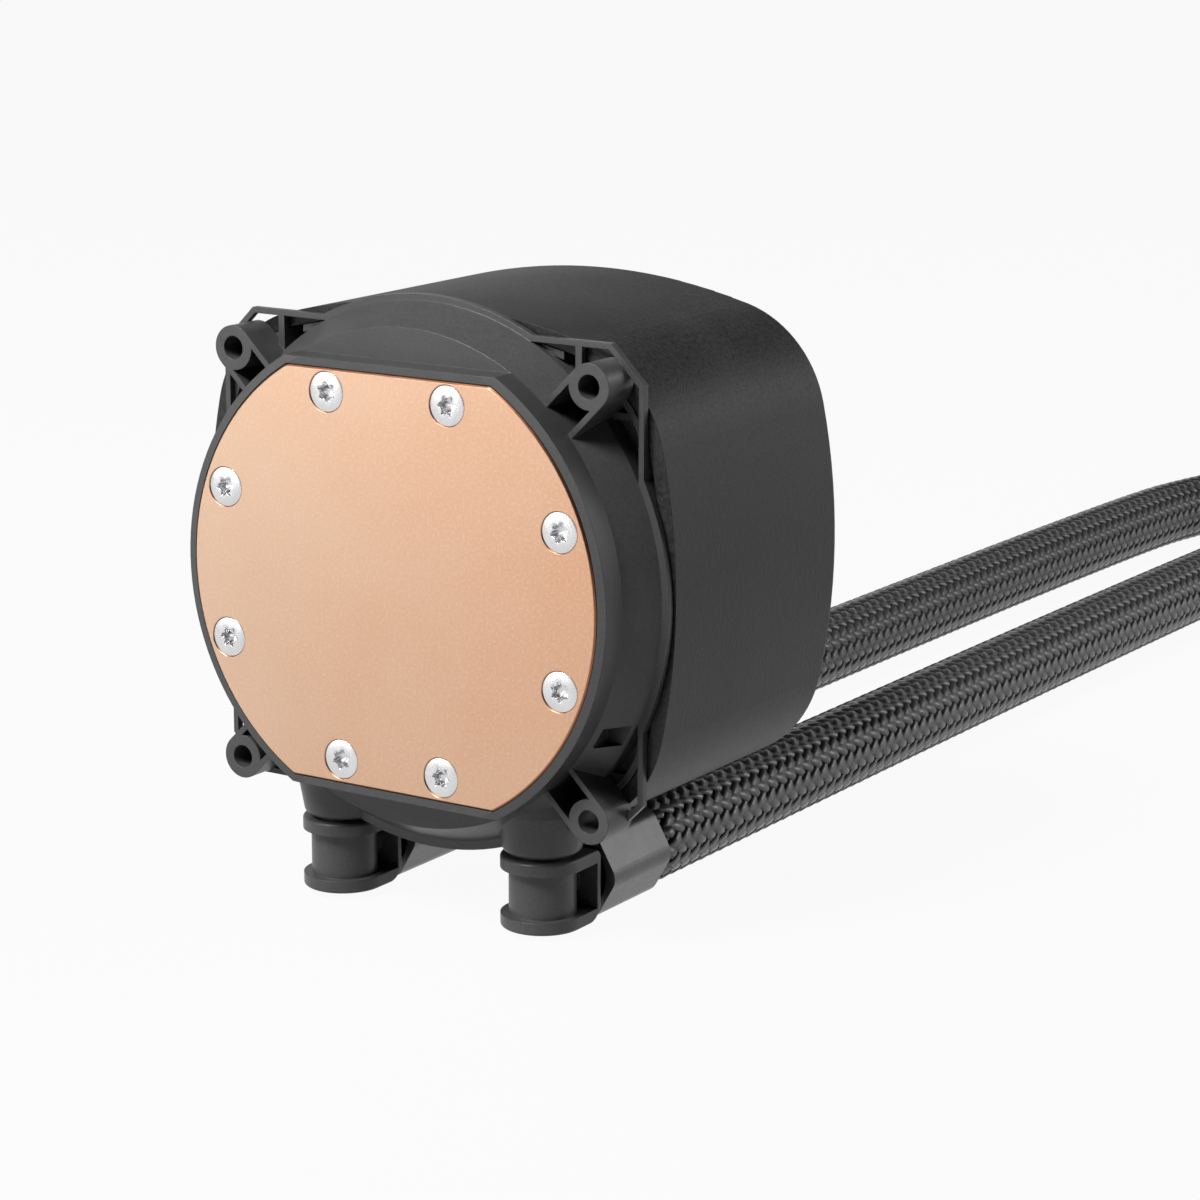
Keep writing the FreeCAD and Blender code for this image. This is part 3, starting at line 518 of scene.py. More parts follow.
@dataclass(frozen=True)
class TurnedSteel:
    """Bright steel or a dark anodised sleeve, with fine marks of turning or drawing."""

    colour: Colour = (0.72, 0.72, 0.73)
    roughness: float = 0.24
    wander: Pair = (0.05, 0.10)
    marks: Grain = Grain(0.12 * MM, 3.0, 0.6)
    stretch: Triple = (1.0, 1.0, 1.0)
    depth: float = 0.003 * MM
    strength: float = 0.7
    smear: Grain = Grain(3.0 * MM)
    smear_span: Span = Span(0.35, 0.7, 0.0, 0.6)
    dull: float = 0.82
    edge: float = 0.06 * MM
    metallic: float = 1.0
    gloss: float = 0.5

    def material(self, name: str) -> bpy.types.Material:
        """Make the finish.

        Args:
            name: the material's name.

        Returns:
            The finished material.
        """
        graph = material_graph(name)
        marks = graph.noise(graph.place(self.stretch), self.marks)
        smear = graph.spread(graph.noise(graph.place(), self.smear), self.smear_span)
        tone = graph.blend(smear, rgba(self.colour), rgba(scaled(self.colour, self.dull)))
        rough = graph.uneven(marks, self.roughness, self.wander)
        normal = graph.bump(marks, self.depth, self.strength, graph.rounded(self.edge))
        return graph.surface(Base_Color=tone, Roughness=rough, Normal=normal,
                             Metallic=self.metallic, Specular_IOR_Level=self.gloss)


@dataclass(frozen=True)
class BraidYarn:
    """Flat multifilament yarn: fine threads side by side, with a silky gloss, and painted shade in
    the furrows between threads, along the yarn's edges and where it dips under the crossing yarns.
    """

    colour: Colour = (0.042, 0.0425, 0.044)
    # The near-black of painted shade, where the yarn dips under others and along its edges.
    gap: Colour = (0.003, 0.003, 0.0035)
    threads: int = 7
    # How dark the painted shade in the furrows between threads is.
    furrow: float = 0.42
    ridge_span: Span = Span(0.0, 1.0, 0.45, 1.0)
    lift_span: Span = Span(-0.2, 0.9, 1.0, 0.0)
    edge_span: Span = Span(0.30, 0.5, 0.0, 0.85)
    grain: Grain = Grain(0.5 * MM, 3.0, 0.7)
    roughness: float = 0.34
    wander: Pair = (0.06, 0.10)
    depth: float = 0.02 * MM
    strength: float = 0.5
    gloss: float = 0.85
    stretch: float = 0.75

    def material(self, name: str) -> bpy.types.Material:
        """Make the finish.

        Args:
            name: the material's name.

        Returns:
            The finished material.
        """
        graph = material_graph(name)
        across = graph.attribute("yarn_across")
        wave = graph.math("SINE", graph.math("MULTIPLY", across, FULL_TURN * self.threads))
        ridge = graph.spread(wave, Span(-1.0, 1.0))
        # Painted shade in the furrows between the threads.
        tone = graph.blend(graph.spread(ridge, self.ridge_span),
                           rgba(scaled(self.colour, self.furrow)), rgba(self.colour))
        # Painted shade where the yarn dips under the yarns that cross it.
        dip_shade = graph.spread(graph.attribute("yarn_lift"), self.lift_span)
        tone = graph.blend(dip_shade, tone, rgba(self.gap))
        # Painted shade along the yarn's two edges.
        edge = graph.spread(graph.math("ABSOLUTE", across), self.edge_span)
        tone = graph.blend(edge, tone, rgba(self.gap))
        grain = graph.noise(graph.place(), self.grain)
        rough = graph.uneven(grain, self.roughness, self.wander)
        normal = graph.bump(ridge, self.depth, self.strength)
        side = graph.attribute("yarn_side", "Vector")
        return graph.surface(Base_Color=tone, Roughness=rough, Normal=normal, Tangent=side,
                             Anisotropic=self.stretch, Specular_IOR_Level=self.gloss)


@dataclass(frozen=True)
class Rubber:
    """Matt rubber, as on the seals, the grommet and the hose's wall."""

    colour: Colour = (0.012, 0.012, 0.012)
    roughness: float = 0.65
    wander: Pair = (0.08, 0.10)
    dust: Grain = Grain(0.8 * MM, 3.0, 0.6)
    dust_span: Span = Span(0.35, 0.75)
    dust_light: float = 0.012
    depth: float = 0.01 * MM
    strength: float = 0.5

    def material(self, name: str) -> bpy.types.Material:
        """Make the finish.

        Args:
            name: the material's name.

        Returns:
            The finished material.
        """
        graph = material_graph(name)
        dust = graph.noise(graph.place(), self.dust)
        pale = tuple(part + self.dust_light for part in self.colour)
        tone = graph.blend(graph.spread(dust, self.dust_span), rgba(self.colour), rgba(pale))
        rough = graph.uneven(dust, self.roughness, self.wander)
        normal = graph.bump(dust, self.depth, self.strength)
        return graph.surface(Base_Color=tone, Roughness=rough, Normal=normal)


@dataclass(frozen=True)
class Banded:
    """A part made of thin layers or turns, as sheet steel or wound wire is."""

    light: Colour
    dark: Colour
    band: float
    metallic: float
    roughness: float
    turn: Triple = (0.0, 1.0, 0.0)
    pitch: float = 0.3
    waver: float = 0.4
    groove: float = 0.2
    strength: float = 0.8

    def material(self, name: str) -> bpy.types.Material:
        """Make the finish.

        Args:
            name: the material's name.

        Returns:
            The finished material.
        """
        graph = material_graph(name)
        mapping = graph.node("Mapping")
        mapping.inputs["Rotation"].default_value = self.turn
        graph.join(graph.node("TexCoord").outputs["Object"], mapping.inputs["Vector"])
        bands = graph.node("TexWave", wave_type="BANDS", bands_direction="X")
        graph.join(mapping.outputs["Vector"], bands.inputs["Vector"])
        bands.inputs["Scale"].default_value = self.pitch / self.band
        bands.inputs["Distortion"].default_value = self.waver
        height = bands.outputs["Fac"]
        tone = graph.blend(height, rgba(self.dark), rgba(self.light))
        normal = graph.bump(height, self.groove * self.band, self.strength)
        return graph.surface(Base_Color=tone, Roughness=self.roughness, Normal=normal,
                             Metallic=self.metallic)


@dataclass(frozen=True)
class PhotoCamera:
    """The camera at the photograph's viewing angle."""

    place: Triple = (0.263363, -0.355174, 0.102355)
    angles: Triple = (76.726, -0.062, 32.961)
    lens: float = 103.532
    sensor: float = 36.0
    clip: Pair = (0.01, 50.0)

    def build(self) -> None:
        """Make the camera and set it as the scene's own."""
        data = bpy.data.cameras.new("photo_camera")
        data.lens = self.lens
        data.sensor_width = self.sensor
        data.clip_start, data.clip_end = self.clip
        camera = link_object("photo_camera", data)
        camera.location = self.place
        camera.rotation_euler = Euler([math.radians(angle) for angle in self.angles])
        bpy.context.scene.camera = camera


@dataclass(frozen=True)
class Softbox:
    """One large soft lamp, aimed at the pump head."""

    name: str
    place: Triple
    size: Pair
    watts: float

    def build(self, target: Vector) -> None:
        """Make the lamp.

        Args:
            target: the point that it is turned to.
        """
        data = bpy.data.lights.new(self.name, "AREA")
        data.shape = "RECTANGLE"
        data.size, data.size_y = self.size
        data.energy = self.watts
        lamp = link_object(self.name, data)
        lamp.location = self.place
        way = target - Vector(self.place)
        lamp.rotation_euler = way.to_track_quat("-Z", "Y").to_euler()


@dataclass(frozen=True)
class DarkCard:
    """A black card that stands beside the view and keeps the room's light off one side."""

    name: str
    place: Triple
    size: Pair
    shade: float = 0.01

    def build(self, target: Vector) -> None:
        """Make the card, upright.

        Args:
            target: the point that it stands square to.
        """
        centre = Vector(self.place)
        way = target - centre
        across = Vector((-way.y, way.x, 0.0)).normalized() * self.size[0] / 2
        rise = Vector((0.0, 0.0, self.size[1] / 2))
        card = flat_panel(self.name, [centre - across - rise, centre + across - rise,
                                      centre + across + rise, centre - across + rise])
        card.data.materials.append(material_graph(self.name).surface(
            Base_Color=rgba((self.shade,) * 3), Roughness=1.0, Specular_IOR_Level=0.0))
        card.visible_camera = False
        card.visible_shadow = False


@dataclass
class Studio:
    """Pale floor, soft lamps, a dark card and a white room."""

    floor_height: float
    floor_reach: float = 8.0
    floor_white: float = 0.34
    floor_glow: float = 0.94
    floor_roughness: float = 0.8
    floor_gloss: float = 0.2
    room: float = 0.05
    room_span: Span = Span(0.12, 0.50, 0.945, 0.06)
    aim: Triple = (0.0, 0.02, 0.0)
    lamps: list[Softbox] = field(default_factory=lambda: [
        Softbox("key_softbox", (-0.14, -0.40, 0.54), (0.26, 0.26), 8.6),
        Softbox("left_softbox", (-0.80, -1.05, 0.10), (0.6, 0.4), 3.2),
        Softbox("right_softbox", (0.95, 0.80, 0.34), (0.25, 0.5), 2.4),
        Softbox("rear_softbox", (0.66, 0.96, 0.46), (0.35, 0.35), 1.3),
    ])
    card: DarkCard = DarkCard("dark_card", (0.42, -0.40, 0.35), (1.3, 0.8))

    def build(self) -> None:
        """Make the floor, the world, the lamps and the card."""
        self.floor()
        self.world()
        target = Vector(self.aim)
        for lamp in self.lamps:
            lamp.build(target)
        self.card.build(target)
        view = bpy.context.scene.view_settings
        view.view_transform = "Standard"

    def floor(self) -> None:
        """Make the floor, white only where it is seen."""
        reach, low = self.floor_reach, self.floor_height
        floor = flat_panel("floor", [(-reach, -reach, low), (reach, -reach, low),
                                     (reach, reach, low), (-reach, reach, low)])
        graph = material_graph("pale_floor")
        floor.data.materials.append(graph.surface(
            Base_Color=rgba((self.floor_white,) * 3), Roughness=self.floor_roughness,
            Specular_IOR_Level=self.floor_gloss))
        plain = graph.tree.nodes["Principled BSDF"]
        share = graph.math("MULTIPLY", graph.seen(), self.floor_glow)
        graph.show(share, [plain, graph.node("Emission")], "Material Output")

    def world(self) -> None:
        """Make the room: white at the horizon where it is seen, and softer as a light."""
        graph = Graph(bpy.data.worlds.new("white_room"))
        dim, white = graph.tree.nodes["Background"], graph.node("Background")
        for shade in (dim, white):
            shade.inputs["Color"].default_value = rgba((1.0, 1.0, 1.0))
        dim.inputs["Strength"].default_value = self.room
        split = graph.node("SeparateXYZ")
        graph.join(graph.node("TexCoord").outputs["Generated"], split.inputs[0])
        rise = graph.spread(split.outputs["Z"], self.room_span)
        graph.join(rise, white.inputs["Strength"])
        graph.show(graph.seen(), [dim, white], "World Output")
        bpy.context.scene.world = graph.owner


class NodeTree(Nodes):
    """A Geometry Nodes tree with named inputs."""

    def __init__(self, name: str, inputs: dict[str, tuple[str, object]]) -> None:
        """Start a tree.

        Args:
            name: the tree's name.
            inputs: socket type and value of each named input.
        """
        super().__init__(bpy.data.node_groups.new(name, "GeometryNodeTree"))
        self.values: dict[str, object] = {}
        self.keys: dict[str, str] = {}
        face = self.tree.interface
        for way in ("INPUT", "OUTPUT"):
            face.new_socket("Geometry", in_out=way, socket_type="NodeSocketGeometry")
        for label, (kind, value) in inputs.items():
            socket = face.new_socket(label, in_out="INPUT", socket_type="NodeSocket" + kind)
            self.keys[label] = socket.identifier
            self.values[label] = value
        self.start = self.tree.nodes.new("NodeGroupInput")
        self.end = self.tree.nodes.new("NodeGroupOutput")

    def given(self, label: str) -> bpy.types.NodeSocket:
        """Return the socket of a named input."""
        return self.start.outputs[label]

    def node(self, kind: str, inputs: dict[str | int, object] | None = None,
             **settings: object) -> bpy.types.Node:
        """Add a node.

        Args:
            kind: the node's full type.
            inputs: values or sockets by the input's name or number.
            settings: its properties.

        Returns:
            The new node.
        """
        made = self.tree.nodes.new(kind)
        for name, value in settings.items():
            setattr(made, name, value)
        for name, value in (inputs or {}).items():
            self.join(value, made.inputs[name])
        return made

    def math(self, kind: str, *values: object) -> bpy.types.NodeSocket:
        """Return one sum of numbers or fields."""
        inputs = dict(enumerate(values))
        return self.node("ShaderNodeMath", inputs, operation=kind).outputs[0]

    def vector(self, kind: str, *values: object) -> bpy.types.NodeSocket:
        """Calculate with vectors.

        Args:
            kind: the operation.
            values: what it works on; SCALE takes its factor last.

        Returns:
            The result.
        """
        inputs = dict(zip((0, "Scale") if kind == "SCALE" else (0, 1), values))
        return self.node("ShaderNodeVectorMath", inputs, operation=kind).outputs[0]

    def run(self, host: bpy.types.Object, name: str) -> bpy.types.Mesh:
        """Put the tree on an object as a modifier and return its result.

        Args:
            host: the object it works on.
            name: the result's name.

        Returns:
            A plain mesh; the modifier is gone again.
        """
        modifier = host.modifiers.new(name, "NODES")
        modifier.node_group = self.tree
        for label, key in self.keys.items():
            modifier[key] = self.values[label]
        mesh = plain_mesh(host, name)
        host.modifiers.remove(modifier)
        return mesh


@dataclass
class PlateScrews:
    """Eight countersunk screws with six-lobed recesses in the cold plate."""

    steel: bpy.types.Material
    head_radius: float = 2.70 * MM
    head_height: float = 1.45 * MM
    rim: float = 0.16 * MM
    rim_middle: Pair = (0.04 * MM, 0.05 * MM)
    shank_radius: float = 1.45 * MM
    shank_neck: Pair = (0.1 * MM, 0.15 * MM)
    length: float = 8.60 * MM
    tip: Pair = (0.35 * MM, 0.4 * MM)
    sink: float = 0.08 * MM
    recess_radius: float = 1.17 * MM
    recess_wave: float = 0.21 * MM
    recess_depth: float = 1.05 * MM
    recess_point: Pair = (0.3 * MM, 0.18 * MM)
    recess_foot: float = 0.94
    recess_mouth: float = 1.07
    mouth_depth: float = 0.10 * MM
    lobes: int = 6
    steps: int = 72
    greatest_turn: float = 60.0
    side_radius: float = 28.93 * MM
    side_angle: float = 21.1
    top: Pair = (9.7 * MM, 25.0 * MM)
    bottom: Pair = (8.2 * MM, -24.8 * MM)

    def sites(self) -> list[Pair]:
        """Work out where the screws are.

        Returns:
            Their (x, z) centres.
        """
        angle = math.radians(self.side_angle)
        side = (self.side_radius * math.cos(angle), self.side_radius * math.sin(angle))
        right = [side, (side[0], -side[1]), self.top, self.bottom]
        return right + [(-x, z) for x, z in right]

    def outline(self, scale: float) -> list[float]:
        """Draw the recess.

        Args:
            scale: its size against that at its full width.

        Returns:
            Its radius at each step round the axis.
        """
        radii = []
        for step in range(self.steps):
            wave = math.cos(self.lobes * FULL_TURN * step / self.steps)
            radii.append(scale * (self.recess_radius + self.recess_wave * wave))
        return radii

    def master(self) -> bpy.types.Mesh:
        """Make one screw.

        Returns:
            The screw on the Y axis, with its head at the front.
        """
        point_radius, point_depth = self.recess_point
        rings = [([point_radius] * self.steps, self.recess_depth + point_depth),
                 (self.outline(self.recess_foot), self.recess_depth),
                 (self.outline(1.0), self.mouth_depth),
                 (self.outline(self.recess_mouth), 0.0)]
        head, shank = self.head_radius, self.shank_radius
        for radius, depth in ((head - self.rim, 0.0),
                              (head - self.rim_middle[0], self.rim_middle[1]),
                              (head, self.rim),
                              (shank + self.shank_neck[0], self.head_height),
                              (shank, self.head_height + self.shank_neck[1]),
                              (shank, self.length - self.tip[1]),
                              (shank - self.tip[0], self.length)):
            rings.append(([radius] * self.steps, depth))
        return ring_mesh("plate_screw_master", rings, self.sink)

    def build(self) -> bpy.types.Object:
        """Make all eight screws as one piece on the pump head.

        Returns:
            The piece.
        """
        master = link_object("plate_screw_master", self.master())
        sites = bpy.data.meshes.new("plate_screw_sites")
        sites.from_pydata([(x, 0.0, z) for x, z in self.sites()], [], [])
        host = link_object("plate_screw_sites", sites)
        tree = NodeTree("screws_at_sites", {
            "Screw": ("Object", master),
            "Greatest Turn": ("Float", math.radians(self.greatest_turn)),
            "Seed": ("Int", SEED),
            "Steel": ("Material", self.steel),
        })
        given, made = tree.given, tree.node
        info = made("GeometryNodeObjectInfo", {"Object": given("Screw")})
        chance = made("FunctionNodeRandomValue", {"Seed": given("Seed")}, data_type="FLOAT")
        tree.join(given("Greatest Turn"), chance.inputs[3])
        turn = made("ShaderNodeCombineXYZ", {"Y": chance.outputs[1]})
        copies = made("GeometryNodeInstanceOnPoints",
                      {"Points": given("Geometry"), "Instance": info.outputs["Geometry"],
                       "Rotation": turn.outputs[0]})
        real = made("GeometryNodeRealizeInstances", {"Geometry": copies.outputs[0]})
        dressed = made("GeometryNodeSetMaterial",
                       {"Geometry": real.outputs[0], "Material": given("Steel")})
        tree.join(dressed.outputs[0], tree.end.inputs[0])
        mesh = tree.run(host, "lobed_plate_screws")
        piece = link_object("lobed_plate_screws", mesh)
        for spare in (host, master):
            bpy.data.objects.remove(spare)
        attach(piece, "pump_head")
        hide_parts("plate_screws")
        return piece


@dataclass
class BraidedHose:
    """A rubber hose in a braid of flat yarns, from its crimped sleeve to its far fitting."""

    side: Side
    route: list[Pair]
    length: float
    yarn: bpy.types.Material
    wall: bpy.types.Material
    height: float = -41.4 * MM
    radius: float = 6.1 * MM
    carriers: int = 24
    lay: float = 62.4 * MM
    yarn_width: float = 1.80 * MM
    yarn_height: float = 0.34 * MM
    yarn_corners: int = 4
    weave: float = 0.20 * MM
    plateau: float = 1.3
    samples: int = 480
    mouth: float = 0.86
    mouth_start: float = 1.6 * MM
    mouth_length: float = 2.4 * MM
    wall_room: float = 2.2
    wall_samples: int = 90
    wall_corners: int = 28
    route_resolution: int = 32
    tuck: float = 1.5 * MM

    def centreline(self) -> bpy.types.Object:
        """Lay the route as a NURBS spline above the floor.

        Returns:
            The curve.
        """
        data = bpy.data.curves.new(f"{self.side.word}_route", "CURVE")
        data.dimensions = "3D"
        data.twist_mode = "Z_UP"
        data.resolution_u = self.route_resolution
        spline = data.splines.new("NURBS")
        spline.points.add(len(self.route) - 1)
        for point, (x, y) in zip(spline.points, self.route):
            point.co = (x * MM, y * MM, self.height, 1.0)
        spline.order_u = 3
        spline.use_endpoint_u = True
        return link_object(data.name, data)

    def braid_tree(self, centre: bpy.types.Object, reach: float) -> NodeTree:
        """Make the tree that lays the yarns and the hose's wall round the route.

        Args:
            centre: the route.
            reach: the route's length.

        Returns:
            The tree, ready to run.
        """
        tree = NodeTree("yarns_round_route", {
            "Route": ("Object", centre),
            "Route Length": ("Float", reach),
            "Radius": ("Float", self.radius - self.yarn_height / 2 - self.weave),
            "Yarn Width": ("Float", self.yarn_width),
            "Yarn Height": ("Float", self.yarn_height),
            "Yarn Corners": ("Int", self.yarn_corners),
            "Weave Height": ("Float", self.weave),
            "Plateau": ("Float", self.plateau),
            "Carriers": ("Int", self.carriers),
            "Lay": ("Float", self.lay),
            "Samples": ("Int", self.samples),
            "Mouth": ("Float", self.mouth),
            "Mouth Start": ("Float", self.mouth_start),
            "Mouth Length": ("Float", self.mouth_length),
            "Wall Room": ("Float", self.wall_room),
            "Wall Samples": ("Int", self.wall_samples),
            "Wall Corners": ("Int", self.wall_corners),
            "Yarn": ("Material", self.yarn),
            "Wall": ("Material", self.wall),
        })
        info = tree.node("GeometryNodeObjectInfo", {"Object": tree.given("Route")})
        route = info.outputs["Geometry"]
        both = tree.node("GeometryNodeJoinGeometry")
        for part in (self.wall_tube(tree, route), self.ribbons(tree, self.strands(tree, route))):
            tree.join(part, both.inputs[0])
        real = tree.node("GeometryNodeRealizeInstances", {"Geometry": both.outputs[0]})
        smooth = tree.node("GeometryNodeSetShadeSmooth", {"Geometry": real.outputs[0]})
        tree.join(smooth.outputs[0], tree.end.inputs[0])
        return tree

    def strands(self, tree: NodeTree, route: bpy.types.NodeSocket) -> bpy.types.NodeSocket:
        """Lay one line for each yarn round the route.

        Half of the yarns turn one way and half the other, and each goes over two and under
        two of those that cross it.

        Args:
            tree: the tree.
            route: the hose's centre line.

        Returns:
            The lines, with their normals pointing out of the hose.
        """
        given, made, calc, vector = tree.given, tree.node, tree.math, tree.vector
        line = made("GeometryNodeCurvePrimitiveLine", {"End": (0.0, 0.0, 1.0)})
        line = made("GeometryNodeResampleCurve",
                    {"Curve": line.outputs[0], "Count": given("Samples")})
        starts = made("GeometryNodeMeshLine", {"Count": calc("MULTIPLY", given("Carriers"), 2.0)})
        copies = made("GeometryNodeInstanceOnPoints",
                      {"Points": starts.outputs[0], "Instance": line.outputs[0]})
        yarns = made("GeometryNodeRealizeInstances", {"Geometry": copies.outputs[0]}).outputs[0]

        # Which yarn a point belongs to, which way that yarn turns, and how far along it is.
        index = made("GeometryNodeInputIndex").outputs[0]
        strand = calc("FLOOR", calc("DIVIDE", calc("ADD", index, 0.5), given("Samples")))
        place = calc("DIVIDE", calc("MODULO", index, given("Samples")),
                     calc("SUBTRACT", given("Samples"), 1.0))
        back = calc("GREATER_THAN", strand, calc("SUBTRACT", given("Carriers"), 0.5))
        way = calc("SUBTRACT", 1.0, calc("MULTIPLY", 2.0, back))
        along = calc("MULTIPLY", place, given("Route Length"))
        turns = calc("MULTIPLY", calc("DIVIDE", along, given("Lay")), way)
        angle = calc("MULTIPLY", calc("ADD", calc("DIVIDE", strand, given("Carriers")), turns),
                     FULL_TURN)

        # How far out it lies: up and down in the weave, and drawn in at the sleeves.
        phase = calc("MULTIPLY", calc("MULTIPLY", angle, given("Carriers")), 0.5)
        phase = calc("SUBTRACT", phase, math.pi / 4)
        wave = calc("MULTIPLY", calc("COSINE", phase), given("Plateau"))
        wave = calc("MAXIMUM", calc("MINIMUM", wave, 1.0), -1.0)
        wave = calc("MULTIPLY", wave, way)
        near = calc("MINIMUM", along, calc("SUBTRACT", given("Route Length"), along))
        opening = made("ShaderNodeMapRange",
                       {"Value": near, "From Min": given("Mouth Start"),
                        "From Max": calc("ADD", given("Mouth Start"), given("Mouth Length")),
                        "To Min": given("Mouth"), "To Max": 1.0},
                       interpolation_type="SMOOTHSTEP").outputs[0]
        out = calc("ADD", given("Radius"), calc("MULTIPLY", given("Weave Height"), wave))
        out = calc("MULTIPLY", out, opening)

        # Its place round the route, and the direction across the yarn for its gloss.
        spot = made("GeometryNodeSampleCurve", {"Curves": route, "Length": along}, mode="LENGTH",
                    use_all_curves=True)
        tangent, normal = spot.outputs["Tangent"], spot.outputs["Normal"]
        second = vector("CROSS_PRODUCT", tangent, normal)
        radial = vector("ADD", vector("SCALE", normal, calc("COSINE", angle)),
                        vector("SCALE", second, calc("SINE", angle)))
        position = vector("ADD", spot.outputs["Position"], vector("SCALE", radial, out))
        around = vector("CROSS_PRODUCT", tangent, radial)
        slope = calc("MULTIPLY", calc("DIVIDE", given("Radius"), given("Lay")),
                     calc("MULTIPLY", way, FULL_TURN))
        fibre = vector("ADD", tangent, vector("SCALE", around, slope))
        side = vector("NORMALIZE", vector("CROSS_PRODUCT", fibre, radial))

        for label, kind, value in (("yarn_lift", "FLOAT", wave),
                                   ("yarn_radial", "FLOAT_VECTOR", radial),
                                   ("yarn_side", "FLOAT_VECTOR", side)):
            yarns = made("GeometryNodeStoreNamedAttribute",
                         {"Geometry": yarns, "Name": label, "Value": value},
                         data_type=kind, domain="POINT").outputs[0]
        moved = made("GeometryNodeSetPosition", {"Geometry": yarns, "Position": position})
        kept = made("GeometryNodeInputNamedAttribute", {"Name": "yarn_radial"},
                    data_type="FLOAT_VECTOR")
        return made("GeometryNodeSetCurveNormal",
                    {"Curve": moved.outputs[0], "Normal": kept.outputs["Attribute"]},
                    mode="FREE").outputs[0]

    def ribbons(self, tree: NodeTree, lines: bpy.types.NodeSocket) -> bpy.types.NodeSocket:
        """Turn lines into flat yarns.

        Args:
            tree: the tree.
            lines: one line for each yarn.

        Returns:
            The yarns, in their material and with their place across the yarn stored.
        """
        given, made, calc = tree.given, tree.node, tree.math
        section = made("GeometryNodeCurvePrimitiveCircle",
                       {"Resolution": given("Yarn Corners"), "Radius": 1.0}, mode="RADIUS")
        sweep = calc("MULTIPLY", made("GeometryNodeInputIndex").outputs[0],
                     calc("DIVIDE", FULL_TURN, given("Yarn Corners")))
        thick = calc("MULTIPLY", calc("SINE", sweep), given("Yarn Height"))
        wide = calc("MULTIPLY", calc("COSINE", sweep), given("Yarn Width"))
        flat = made("ShaderNodeCombineXYZ",
                    {"X": calc("MULTIPLY", thick, 0.5), "Y": calc("MULTIPLY", wide, 0.5)})
        shaped = made("GeometryNodeSetPosition",
                      {"Geometry": section.outputs[0], "Position": flat.outputs[0]})
        across = calc("MULTIPLY", calc("COSINE", sweep), 0.5)
        marked = made("GeometryNodeStoreNamedAttribute",
                      {"Geometry": shaped.outputs[0], "Name": "yarn_across", "Value": across},
                      data_type="FLOAT", domain="POINT")
        ribbon = made("GeometryNodeCurveToMesh",
                      {"Curve": lines, "Profile Curve": marked.outputs[0], "Fill Caps": True})
        return made("GeometryNodeSetMaterial",
                    {"Geometry": ribbon.outputs[0], "Material": given("Yarn")}).outputs[0]

    def wall_tube(self, tree: NodeTree, route: bpy.types.NodeSocket) -> bpy.types.NodeSocket:
        """Make the rubber wall that shows between the yarns.

        Args:
            tree: the tree.
            route: the hose's centre line.

        Returns:
            The tube, in its material.
        """
        given, made, calc = tree.given, tree.node, tree.math
        run = made("GeometryNodeResampleCurve", {"Curve": route, "Count": given("Wall Samples")})
        inner = calc("SUBTRACT", given("Radius"),
                     calc("MULTIPLY", given("Weave Height"), given("Wall Room")))
        ring = made("GeometryNodeCurvePrimitiveCircle",
                    {"Resolution": given("Wall Corners"),
                     "Radius": calc("MULTIPLY", inner, given("Mouth"))}, mode="RADIUS")
        pipe = made("GeometryNodeCurveToMesh",
                    {"Curve": run.outputs[0], "Profile Curve": ring.outputs[0], "Fill Caps": True})
        return made("GeometryNodeSetMaterial",
                    {"Geometry": pipe.outputs[0], "Material": given("Wall")}).outputs[0]

    def build(self) -> bpy.types.Object:
        """Make the hose as one piece.

        Returns:
            The piece.
        """
        centre = self.centreline()
        path = [vertex.co.copy() for vertex in plain_mesh(centre, "route_points").vertices]
        reach = sum((after - before).length for before, after in zip(path, path[1:]))
        host = link_object(f"{self.side.word}_braid_host", bpy.data.meshes.new("braid_host"))
        mesh = self.braid_tree(centre, reach).run(host, f"braided_hose_{self.side.word}")
        piece = link_object(f"braided_hose_{self.side.word}", mesh)
        for spare in (host, centre):
            bpy.data.objects.remove(spare)
        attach(piece, f"hose_group_{self.side.word}")
        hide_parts(f"hose_{self.side.word}")
        return piece


@dataclass
class PumpHead:
    """The CAD nodes and the finish of each."""

    nodes: dict[str, bpy.types.Object]
    finishes: dict[str, bpy.types.Material]

    def dress(self, record: dict) -> None:
        """Give every CAD node the finish of its material slot.

        Args:
            record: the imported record, which names each node's slot.
        """
        for entry in record["subparts"]:
            mesh = self.nodes[entry["node"]].data
            mesh.materials.clear()
            mesh.materials.append(self.finishes[entry["material_slot"]])
            LOG.info("%s: %s", entry["node"], entry["material_slot"])


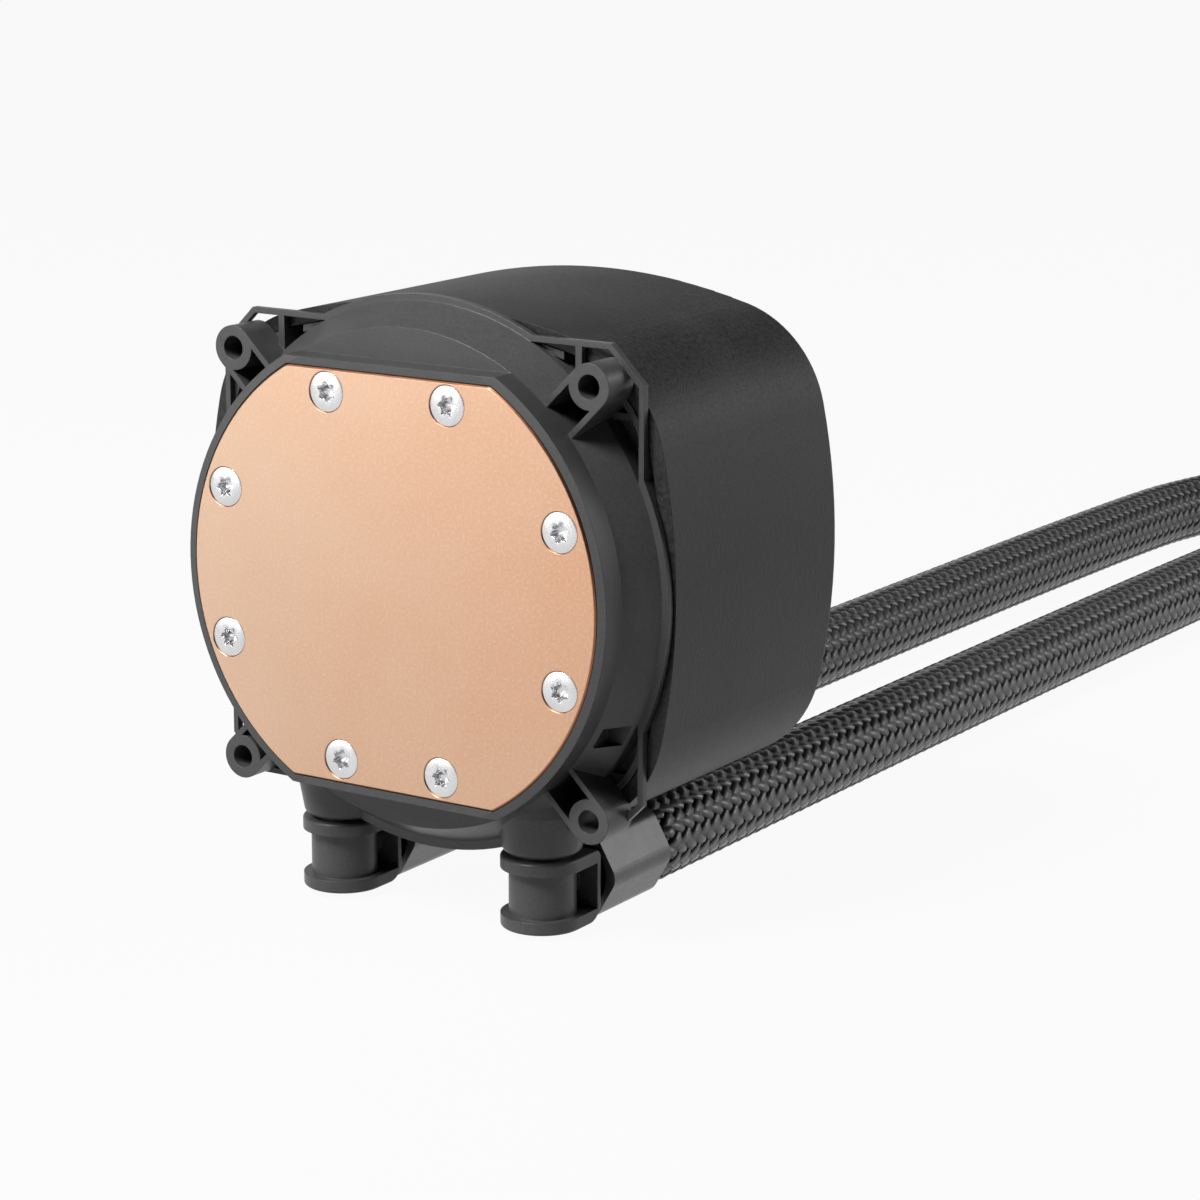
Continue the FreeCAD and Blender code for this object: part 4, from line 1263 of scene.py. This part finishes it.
def make_finishes() -> dict[str, bpy.types.Material]:
    """Make a material for every slot of the record, and one for the hose's wall.

    Returns:
        The materials by slot.
    """
    recipes = {
        "copper": LappedCopper(),
        "bright_screw": TurnedSteel(),
        "seal_rubber": Rubber(),
        "clear_plastic": MouldedPlastic(colour=(0.22, 0.225, 0.23), roughness=0.35,
                                        depth=0.004 * MM),
        "base_plastic": MouldedPlastic(),
        "bush_ceramic": MouldedPlastic(colour=(0.60, 0.60, 0.57), roughness=0.25, mottle=0.05,
                                       depth=0.002 * MM),
        "magnet": MouldedPlastic(colour=(0.045, 0.045, 0.047), roughness=0.45, grain=0.2 * MM),
        "steel": TurnedSteel(colour=(0.55, 0.55, 0.56), stretch=(1.0, 0.1, 1.0)),
        "core_steel": Banded(light=(0.42, 0.42, 0.43), dark=(0.16, 0.16, 0.17), band=0.35 * MM,
                             metallic=1.0, roughness=0.38),
        "winding": Banded(light=(0.60, 0.24, 0.10), dark=(0.20, 0.06, 0.02), band=0.30 * MM,
                          metallic=0.8, roughness=0.28),
        "board": MouldedPlastic(colour=(0.012, 0.085, 0.035), roughness=0.32, depth=0.004 * MM),
        "chip": MouldedPlastic(colour=(0.014, 0.014, 0.015), roughness=0.55, grain=0.15 * MM),
        "cover_plastic": MouldedPlastic(colour=(0.018, 0.0182, 0.0187), roughness=0.48,
                                        grain=0.60 * MM, depth=0.06 * MM, gloss=0.25, mottle=0.80),
        "cap_gloss": MouldedPlastic(colour=(0.008, 0.008, 0.009), roughness=0.10, grain=2.0 * MM,
                                    depth=0.002 * MM),
        "sleeve_metal": TurnedSteel(colour=(0.12, 0.12, 0.122), roughness=0.30,
                                    stretch=(1.0, 0.12, 1.0), metallic=0.6, gloss=0.2),
        "braid": BraidYarn(),
        "hose_wall": Rubber(colour=(0.006, 0.006, 0.006)),
    }
    return {slot: recipe.material(slot) for slot, recipe in recipes.items()}


# For each hose: the (x, y) control points of its route in millimetres, which are those of the
# CAD solid, and the length of that solid.
HOSES = {
    Side.RIGHT: ([(16.6, 31.9), (16.6, 262.0), (24.588, 307.301), (42.484, 347.497),
                  (66.583, 380.667)], 359.2 * MM),
    Side.LEFT: ([(-16.6, 31.9), (-16.6, 262.0), (-9.560, 306.446), (7.586, 345.880),
                 (29.953, 379.041)], 356.2 * MM),
}


def main() -> None:
    """Build the cooler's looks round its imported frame."""
    logging.basicConfig(level=logging.INFO, format="%(name)s %(message)s")
    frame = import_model()
    PhotoCamera().build()
    Studio(floor_height=FLOOR_HEIGHT).build()
    finishes = make_finishes()
    PumpHead(frame["nodes"], finishes).dress(frame["record"])
    pieces = [PlateScrews(finishes["bright_screw"]).build()]
    for side, (route, length) in HOSES.items():
        hose = BraidedHose(side, route, length, finishes["braid"], finishes["hose_wall"])
        pieces.append(hose.build())
    for piece in pieces:
        LOG.info("%s: %d faces", piece.name, len(piece.data.polygons))


if __name__ == "__main__":
    main()
